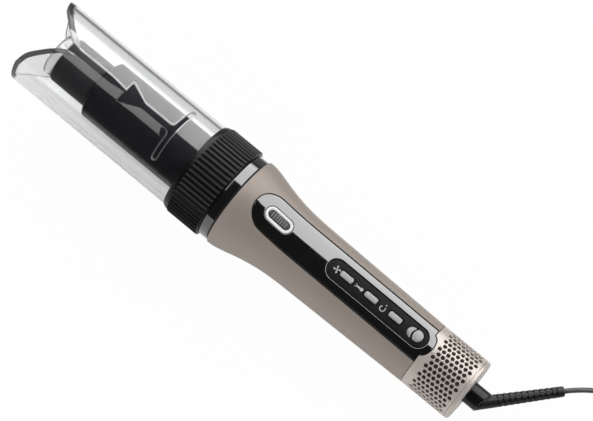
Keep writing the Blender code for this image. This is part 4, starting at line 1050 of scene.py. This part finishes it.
def neckRing():
    size = neck
    front, rear, r = handleFront - size["front"], handleFront - size["rear"], size["radius"]
    profile = rounded([
        (front, size["bore"], 0), (front, r, size["frontRound"]),
        (rear - size["bevel"], r, size["bevelRound"]), (rear, r - size["bevel"], size["bevelRound"]),
        (rear, size["bore"], 0),
    ])
    keepPiece("gloss_neck", lathe(profile, steps=180), "gloss_black", "handle", "neck_ring")


def controlStrip():
    size = strip
    holes = [ringOutline(size["ringGap"]), keypadOutline(size["keypadGap"])]
    bm = onHandle(stripOutline(0), -size["base"], 0, size["edge"], holes)
    keepPiece("gloss_strip", bm, "gloss_black", "handle", "control_inlay")
    # A dark sheet just under the surface fills the gap round the inlay: painted shade in the gap.
    gapShade, inside = stripOutline(size["gap"] - size["gapShadeClear"]), stripOutline(size["gapShadeClear"])
    bm = onHandle(gapShade, -size["base"], -size["gapShadeDrop"], size["gapShadeEdge"], [inside])
    keepPiece("strip_gap_shade", bm, "keypad", "handle")
    holes = [keyOutline(middleOf(node), size["keyGap"]) for node in keyBodies]
    holes.append(pill(size["slotLength"], size["slotWidth"], slotAt))
    sink = -size["keypadSink"]
    bm = onHandle(keypadOutline(0), sink - size["keypadDepth"], sink, size["keypadEdge"], holes)
    keepPiece("matte_keypad", bm, "keypad", "handle", "keypad_plate")
    keepPiece("keypad_bed", onHandle(keypadOutline(size["bedGap"]), *size["bed"]), "keypad", "handle")
    hole = ringOutline(-size["ringBand"])
    bm = onHandle(ringOutline(0), -size["ringBase"], size["ringProud"], size["ringEdge"], [hole])
    keepPiece("oval_ring", bm, "white_ring", "handle", "slider_bezel")


def keys():
    for node, body in keyBodies.items():
        outline = keyOutline(middleOf(node), 0)
        bm = onHandle(outline, -strip["keyBase"], strip["keyProud"], strip["edge"], grid=strip["keyGrid"])
        keepPiece(node.replace("button", "cap"), bm, "silver", body, node)


handleSleeve()
neckRing()
controlStrip()

# Printed marks ahead of the keys: a fan, a thermometer and a turning curl
marks = {
    "fan": 105.9 * mm,
    "heat": 122.4 * mm,
    "curl": 140.7 * mm,
    "lift": 0.05 * mm,
    "grid": (1 * mm, 1 * mm),
    "roundStretch": 1.001,     # length of a round mark, as a share of its width
    # In mm from each mark's place. A pill has a length, a width and its middle.
    "petal": ((0.1925, -0.1925), (2.3, -0.63), (2.415, 0.07), (1.84, 0.525), (0.385, 0.1925)),
    "petalTurns": [math.radians(21.6 + 90 * k) for k in range(4)],
    "ringRadii": (1.886, 1.265),
    "ringAt": (-0.23, -0.805),
    "ringSweep": math.radians(280),
    "ringTurn": math.radians(120),
    "fanPills": {"hub": (0.49, 0.49, 0, 0)},
    "heatPills": {
        "stem": (3.45, 1.05, -0.46, 0),
        "bulb": (2.1873, 2.185, 1.84, 0),
        "tick_1": (0.84, 0.42, -2.415, -0.77),
        "tick_2": (0.84, 0.42, -2.415, 0.77),
    },
    "curlPills": {"dot_1": (0.63, 0.63, 1.15, 0.644), "dot_2": (0.875, 0.875, 0.506, 2.3)},
}


def printMark(name, outline):
    low = -strip["keypadSink"] - marks["lift"]
    bm = onHandle(outline, low, low + 2 * marks["lift"], grid=marks["grid"])
    keepPiece(name, bm, "printed", "handle")


def turned(points, angle, x, y=0.0):
    c, s = math.cos(angle), math.sin(angle)
    return [(x + a * c - b * s, y + a * s + b * c) for a, b in points]


def printPills(mark):
    for name, values in marks[mark + "Pills"].items():
        length, width, x, y = [value * mm for value in values]
        outline = pill(max(length, width * marks["roundStretch"]), width, marks[mark] + x, y)
        printMark(f"{mark}_mark_{name}", outline)


def printedMarks():
    petal = [(x * mm, y * mm) for x, y in marks["petal"]]
    for k, turn in enumerate(marks["petalTurns"]):
        printMark(f"fan_mark_{k + 1}", turned(petal, turn, marks["fan"]))
    printPills("fan")
    printPills("heat")
    radii, (x, y) = [[value * mm for value in marks[key]] for key in ("ringRadii", "ringAt")]
    outer, inner = [arcAround(0, 0, r, r, 0, marks["ringSweep"], steps=20) for r in radii]
    printMark("curl_mark_ring", turned(outer + inner[::-1], marks["ringTurn"], marks["curl"] + x, y))
    printPills("curl")


printedMarks()
keys()

# Direction slider, power switch
slider = {
    "length": 14.6 * mm,
    "width": 5.1 * mm,
    "pad": (-1.2 * mm, -0.6 * mm),
    "padEdge": 0.15 * mm,
    "ribs": 7,
    "ribPitch": 1.6 * mm,
    "ribLength": 4.3 * mm,
    "endRibLength": 3.7 * mm,
    "ribWidth": 0.85 * mm,
    "rib": (-0.8 * mm, 0.5 * mm),
    "ribEdge": 0.3 * mm,
    "grid": (2 * mm, 1 * mm),
}
switch = {
    "gap": 0.1 * mm,
    "well": (-1.9 * mm, -1.5 * mm),
    "floor": (-1.45 * mm, -1.0 * mm),
    "floorEdge": 0.1 * mm,
    "knob": (-0.9 * mm, 0.5 * mm),
    "knobEdge": 0.5 * mm,
    "knobLength": 6.4 * mm,
    "knobGap": 0.3 * mm,
    "bow": 1.4 * mm,
    "bowLines": 12,
    "ahead": 1.1 * mm,         # from the knob to the slot's floor
}


def directionSlider():
    size, last = slider, slider["ribs"] - 1
    pad = pill(size["length"], size["width"], ringAt)
    bm = onHandle(pad, *size["pad"], size["padEdge"], grid=size["grid"])
    keepPiece("slider_pad", bm, "sliderGrey", "direction_key", "direction_slider")
    for k in range(size["ribs"]):
        x = ringAt + (k - last / 2) * size["ribPitch"]
        outline = pill(size["endRibLength"] if k in (0, last) else size["ribLength"], size["ribWidth"])
        rib = plate(outline, [], *size["rib"], size["ribEdge"], lambda a, b, height: (a, b, height), 1, 1)
        rib.transform(Matrix.Rotation(quarter, 4, "Z"))
        for v in rib.verts:
            v.co = onSleeve(x + v.co.x, v.co.y, v.co.z)
        # The ribs' grey is a painted highlight.
        keepPiece(f"slider_rib_{k + 1}", rib, "ribGrey", "direction_key")


def powerSwitch():
    size = switch
    slot = pill(strip["slotLength"] - 2 * size["gap"], strip["slotWidth"] - 2 * size["gap"], slotAt)
    keepPiece("switch_well", onHandle(slot, *size["well"], size["floorEdge"]), "keypad", "handle")
    width, length = strip["slotWidth"] - 2 * size["knobGap"], size["knobLength"]
    front = ends("power_slider")[1] - length
    steps = [2 * k / size["bowLines"] - 1 for k in range(size["bowLines"] + 1)]
    bow = [(front + size["bow"] * t * t, t * width / 2) for t in reversed(steps)]
    nose = [(x, y) for x, y in pill(2 * length, width, front) if x > front + length - width / 2]
    knob = onHandle(nose + bow, *size["knob"], size["knobEdge"], grid=slider["grid"])
    keepPiece("power_knob", knob, "silver", "power_key", "power_slider")
    shelf = strip["slotWidth"] / 2 - size["gap"]
    rim = [(x, y) for x, y in slot if x < slotAt]
    edge = [(front - size["ahead"] + size["bow"] * t * t, t * shelf) for t in steps[1:-1]]
    floor = onHandle(rim + edge, *size["floor"], size["floorEdge"])
    keepPiece("switch_floor", floor, "silver", "handle", "power_slot_floor")


directionSlider()
powerSwitch()

# Perforated cap, its lining and cover, the cord's elbow
cap = {
    "radius": 20.6 * mm,
    "wall": 1.1 * mm,
    "band": 6.7 * mm,
    "bandStep": 2 * mm,
    "lines": 40,
    "holes": 8,
    "pitch": 3.18 * mm,
    "hole": 1.3 * mm,
    "phase": math.radians(3),
    "edge": 0.22 * mm,
    "edgeShare": 0.3,          # how far along a rounded edge its middle line lies
    "frontLip": 0.25 * mm,
    "rearLip": 0.2 * mm,
    "cellCorners": ((1, 0), (1, 0.5), (1, 1), (0.5, 1), (0, 1), (-0.5, 1), (-1, 1), (-1, 0.5)),
    "seam": 0.01 * mm,
}
lining = {
    "gap": 0.35 * mm,
    "wall": 0.4 * mm,
    "front": 3.6 * mm,
    "rear": 0.4 * mm,
}
cover = {
    "bore": 7.3 * mm,
    "sunk": 1.9 * mm,          # the spigot, below the cap's surface
    "drop": 0.1 * mm,
    "gap": 0.12 * mm,
    "frontRound": 0.2 * mm,
    "round": 2.0 * mm,
    "boreRound": 0.3 * mm,
}
elbow = {
    "radius": 7.0 * mm,
    "flange": 9.4 * mm,
    "flangeDepth": 1.6 * mm,
}


def latticeTube():
    size, half, depth = cap, cap["pitch"] / 2, cap["wall"]
    width = tau * size["radius"] / size["lines"]
    start = capFront + size["band"] - half                   # front border of the main lines' first cells
    end = start + size["holes"] * size["pitch"]
    bm = bmesh.new()

    def row(points, height):                                 # places on the rolled-out tube, at a depth
        r, turns = size["radius"] - height, [y / size["radius"] + size["phase"] for x, y in points]
        return [bm.verts.new((x, r * math.sin(t), r * math.cos(t))) for (x, y), t in zip(points, turns)]

    around = [(x * half, y * width / 2) for x, y in size["cellCorners"]]
    around += [(-x, -y) for x, y in around]                  # 16 places of a cell's border, by angle
    circle = arcAround(0, 0, 1, 1, 0, tau, len(around))[:-1]
    rim = size["edge"]
    steps = [(rim, 0), (rim * size["edgeShare"], rim * size["edgeShare"]), (0, rim), (0, depth)]
    for line in range(size["lines"]):
        cy = (line + 0.5) * width
        odd = line % 2
        for k in range(size["holes"] - odd):
            cx = start + half + (k + odd / 2) * size["pitch"]
            rings = [row([(cx + x, cy + y) for x, y in around], 0)]
            for wide, height in steps:
                r = size["hole"] + wide
                rings.append(row([(cx + x * r, cy + y * r) for x, y in circle], height))
            skin(bm, rings + [row([(cx + x, cy + y) for x, y in around], depth)])
        for cx in (start + half / 2, end - half / 2) if odd else ():     # plain half cells at both ends
            ys = [cy + width / 2 * s for s in (-1, -0.5, 0, 0.5, 1)]
            for height in (0, depth):
                grid = [row([(cx + s * half, y) for y in ys], height) for s in (-0.5, 0, 0.5)]
                skin(bm, grid, closed=False)
    # Plain bands ahead of the lattice and behind it, then the tube's two rims.
    lines = [width * k / 4 for k in range(4 * size["lines"])]
    front, rear = size["frontLip"], size["rearLip"]
    for xs in ([capFront + front, capFront + size["bandStep"], start], [end, capRear - rear]):
        for height in (0, depth):
            skin(bm, [row([(x, y) for y in lines], height) for x in xs])
    for x, lip, high in ((capFront, front, front), (capRear, -rear, rear)):
        share = size["edgeShare"]
        places = [(x + lip, 0), (x + lip * share, high * share), (x, high), (x, depth), (x + lip, depth)]
        skin(bm, [row([(a, y) for y in lines], height) for a, height in places])
    bmesh.ops.remove_doubles(bm, verts=bm.verts, dist=size["seam"])
    cutAway(keepPiece("perforated_cap", bm, "cap", "handle", "grille_cap"), stripCutter(-strip["cutHeight"]))


def filterLining():
    size = lining
    r = cap["radius"] - cap["wall"] - size["gap"]
    start, end, bore = capFront + size["front"], capRear - size["rear"], r - size["wall"]
    profile = [(start, bore), (start, r), (end, r), (end, bore)]
    keepPiece("filter_lining", lathe(profile, steps=96), "lining", "handle")


def endCover():
    size = cover
    low, high = ends("end_cover")
    r, spigot, front = cap["radius"] - size["drop"], cap["radius"] - size["sunk"], capRear + size["gap"]
    profile = rounded([
        (low, size["bore"], 0), (low, spigot, 0), (front, spigot, 0),
        (front, r, size["frontRound"]), (high, r, size["round"]), (high, size["bore"], size["boreRound"]),
    ], arc=6)
    keepPiece("rounded_cover", lathe(profile, steps=160), "cap", "handle", "end_cover")


def cordElbow():
    r, flange, low = elbow["radius"], elbow["flange"], ends("cord_swivel")[0]
    step, end = low + elbow["flangeDepth"], reliefStart + r
    bm = lathe([(low, 0), (low, flange), (step, flange), (step, r), (end, r), (end, 0)], steps=96)
    cutAway(keepPiece("gloss_elbow", bm, "elbow", "handle", "cord_swivel"), halfSpace(1))


latticeTube()
filterLining()
endCover()
cordElbow()

# Barrel, tip and guard
barrel = {
    "bore": 12 * mm,
    "wall": 1.6 * mm,
    "noseLength": 2.6 * mm,
    "noseStep": 0.1 * mm,
    "noseRound": 0.2 * mm,
    "shoulder": 0.9 * mm,
    "rearRound": 0.3 * mm,
    "innerFront": 4 * mm,
    "innerNose": 2 * mm,
}
tip = {
    "round": 2.6 * mm,
    "gap": 0.2 * mm,
    "rearRound": 0.2 * mm,
    "neck": 10 * mm,
}
guard = {
    "wall": 1.2 * mm,
    "round": 1.8 * mm,
    "innerRound": 1.2 * mm,
    "edge": 0.2 * mm,
}


def barrelPieces():
    size = barrel
    front, rear = ends("heater_barrel")
    r, tipRadius = reach("heater_barrel"), reach("barrel_tip")
    profile = rounded([
        (front, size["bore"], 0), (front, tipRadius + size["noseStep"], size["noseRound"]),
        (front + size["noseLength"], r, size["shoulder"]), (rear, r, size["rearRound"]),
        (rear, r - size["wall"], 0), (front + size["innerFront"], r - size["wall"], 0),
        (front + size["innerNose"], size["bore"], 0),
    ])
    keepPiece("coated_barrel", lathe(profile), "barrel", "barrel", "heater_barrel")
    low, high = ends("barrel_tip")
    back = front - tip["gap"]
    profile = rounded([
        (low, 0, 0), (low, tipRadius, tip["round"]), (back, tipRadius, tip["rearRound"]),
        (back, tip["neck"], 0), (high, tip["neck"], 0), (high, 0, 0),
    ], arc=6)
    # Its finish is the coat's black lifted as a painted sheen.
    keepPiece("coated_tip", lathe(profile, steps=120), "tip", "barrel", "barrel_tip")
    low, high = ends("tip_guard")
    r, bore, inside = reach("tip_guard"), reach("tip_guard") - guard["wall"], low + guard["wall"]
    profile = rounded([
        (low, 0, 0), (low, r, guard["round"]), (high, r, guard["edge"]), (high, bore, guard["edge"]),
        (inside, bore, guard["innerRound"]), (inside, 0, 0),
    ], arc=6)
    keepPiece("clear_guard", lathe(profile, steps=96), "clear", "barrel", "tip_guard")


barrelPieces()
print("pieces built")

# Floor, lamps and world
studio = {
    "softboxes": {
        # Each: radiance, middle's turn from straight up (towards +Y), distance, height, width.
        "key": (1.02, math.radians(50), 1.25, 1.45, 1.9),
        "side": (2.1, math.radians(-70), 1.6, 0.8, 2.0),
    },
    # A panel close above the chamber, which only gloss shows. Then also its place along X.
    "mirrored": (3.6, math.radians(1.7), 0.5, 0.27, 0.27, -0.265),
    "sky": 0.5,
    "floor": (0.93, 0.93, 0.93),
    "floorRoughness": 0.7,
    "floorSize": 4,
    "floorSeen": 0.97,         # share of the floor's white that lamps and shadows don't touch
    "floorMirrored": 0.30,     # the same in reflections and through clear plastic
    # Painted light: in gloss and clear plastic the floor glows more beyond the tool, between these distances.
    "paintedGlowFrom": (25 * mm, 50 * mm),
    "paintedGlowMore": 0.5,         # how much more beyond the tool
    # Painted dark reflection: beyond this distance the floor turns dark in gloss and clear plastic.
    "paintedDarkFrom": (72 * mm, 77 * mm),
    "paintedDarkShare": 0.8,
    # What gloss and clear plastic show overhead: a dark room with one white panel, from low to high turn.
    "room": 0.02,
    "panel": 4.2,
    "panelTurn": (math.radians(16.7), math.radians(82)),
    "panelEdge": math.radians(0.6),
    "panelFar": math.radians(6),
    "panelHalf": 0.90,         # sine of half its length's angle
    "panelSoft": 0.03,
}


def addSoftbox(name, radiance, turn, distance, height, width, along=0.0, glossOnly=False):
    data = bpy.data.lights.new(name, "AREA")
    data.shape = "RECTANGLE"
    data.size, data.size_y = width, height
    data.energy = radiance * math.pi * width * height
    away, side = Vector((0, math.sin(turn), math.cos(turn))), Vector((1, 0, 0))
    lamp = addThing(name, data)
    lamp.matrix_world = axesAt(away * distance + side * along, side, away.cross(side), away)
    lamp.visible_camera = lamp.visible_transmission = False
    lamp.visible_glossy, lamp.visible_diffuse = glossOnly, not glossOnly


def mirroredRays(shades):  # gloss and clear plastic
    glossy = shades.ray("Is Glossy Ray")
    return glossy.sum("MAXIMUM", glossy, shades.ray("Is Transmission Ray"))


def addFloor():
    finish = Finish("pale floor", "sleeve", studio["floor"], studio["floorRoughness"])
    finish.material.cycles.emission_sampling = "NONE"
    mirrored = mirroredRays(finish)
    # A dark band painted on the floor beyond the tool on the +Y side, only in gloss and clear plastic: a
    # painted dark reflection that draws the plastic's edge.
    place = finish.add("ShaderNodeNewGeometry", output="Position")
    far = finish.add("ShaderNodeSeparateXYZ", sockets={0: place}, output="Y")
    paintedDarkBand = mirrored * studio["paintedDarkShare"] * finish.fade(far, *studio["paintedDarkFrom"])
    # Painted light: the floor seen in gloss and clear plastic glows more away from the tool.
    paintedGlow = finish.fade(far, *studio["paintedGlowFrom"]) * studio["paintedGlowMore"] + studio["floorMirrored"]
    share = finish.ray("Is Camera Ray") * studio["floorSeen"] + mirrored * paintedGlow
    glow, dark = [
        finish.add("ShaderNodeEmission", sockets={"Color": (1, 1, 1, 1), "Strength": strength})
        for strength in (1.0, studio["room"])
    ]
    lit = finish.surface(share, Wire(finish, finish.shader.outputs[0]), glow)
    finish.show(finish.surface(paintedDarkBand, lit, dark))
    bm = bmesh.new()
    bmesh.ops.create_grid(bm, x_segments=1, y_segments=1, size=studio["floorSize"])
    mesh = asMesh("floor", bm, Matrix())
    mesh.materials.append(finish.material)
    addThing("floor", mesh)


def addWorld():
    world = bpy.data.worlds.new("studio")
    world.use_nodes = True
    world.cycles.sampling_method = "NONE"
    shades = Shades(world.node_tree)
    way = shades.add("ShaderNodeTexCoord", output="Generated")
    x, y, z = [shades.add("ShaderNodeSeparateXYZ", sockets={0: way}, output=axis) for axis in "XYZ"]
    turn, aside = x.sum("ARCTAN2", y, z), x.sum("ABSOLUTE", x, 0)
    low, high = studio["panelTurn"]
    edge, far, half, soft = [studio[key] for key in ("panelEdge", "panelFar", "panelHalf", "panelSoft")]
    panel = shades.fade(turn, low - edge, low + edge) * (1 - shades.fade(turn, high - far, high + far))
    shown = panel * (1 - shades.fade(aside, half - soft, half + soft)) * studio["panel"] + studio["room"]
    mirrored, camera = mirroredRays(shades), shades.ray("Is Camera Ray")
    strength = mirrored * shown + (1 - mirrored) * studio["sky"]
    background = shades.tree.nodes["Background"].inputs
    shades.join(camera + (1 - camera) * strength, background["Strength"])
    shades.join((1, 1, 1, 1), background["Color"])
    bpy.context.scene.world = world


for label, values in studio["softboxes"].items():
    addSoftbox(f"softbox_{label}", *values)
addSoftbox("softbox_mirrored", *studio["mirrored"], glossOnly=True)
addFloor()
addWorld()
bpy.context.scene.view_settings.view_transform = "Standard"
print("studio lit")
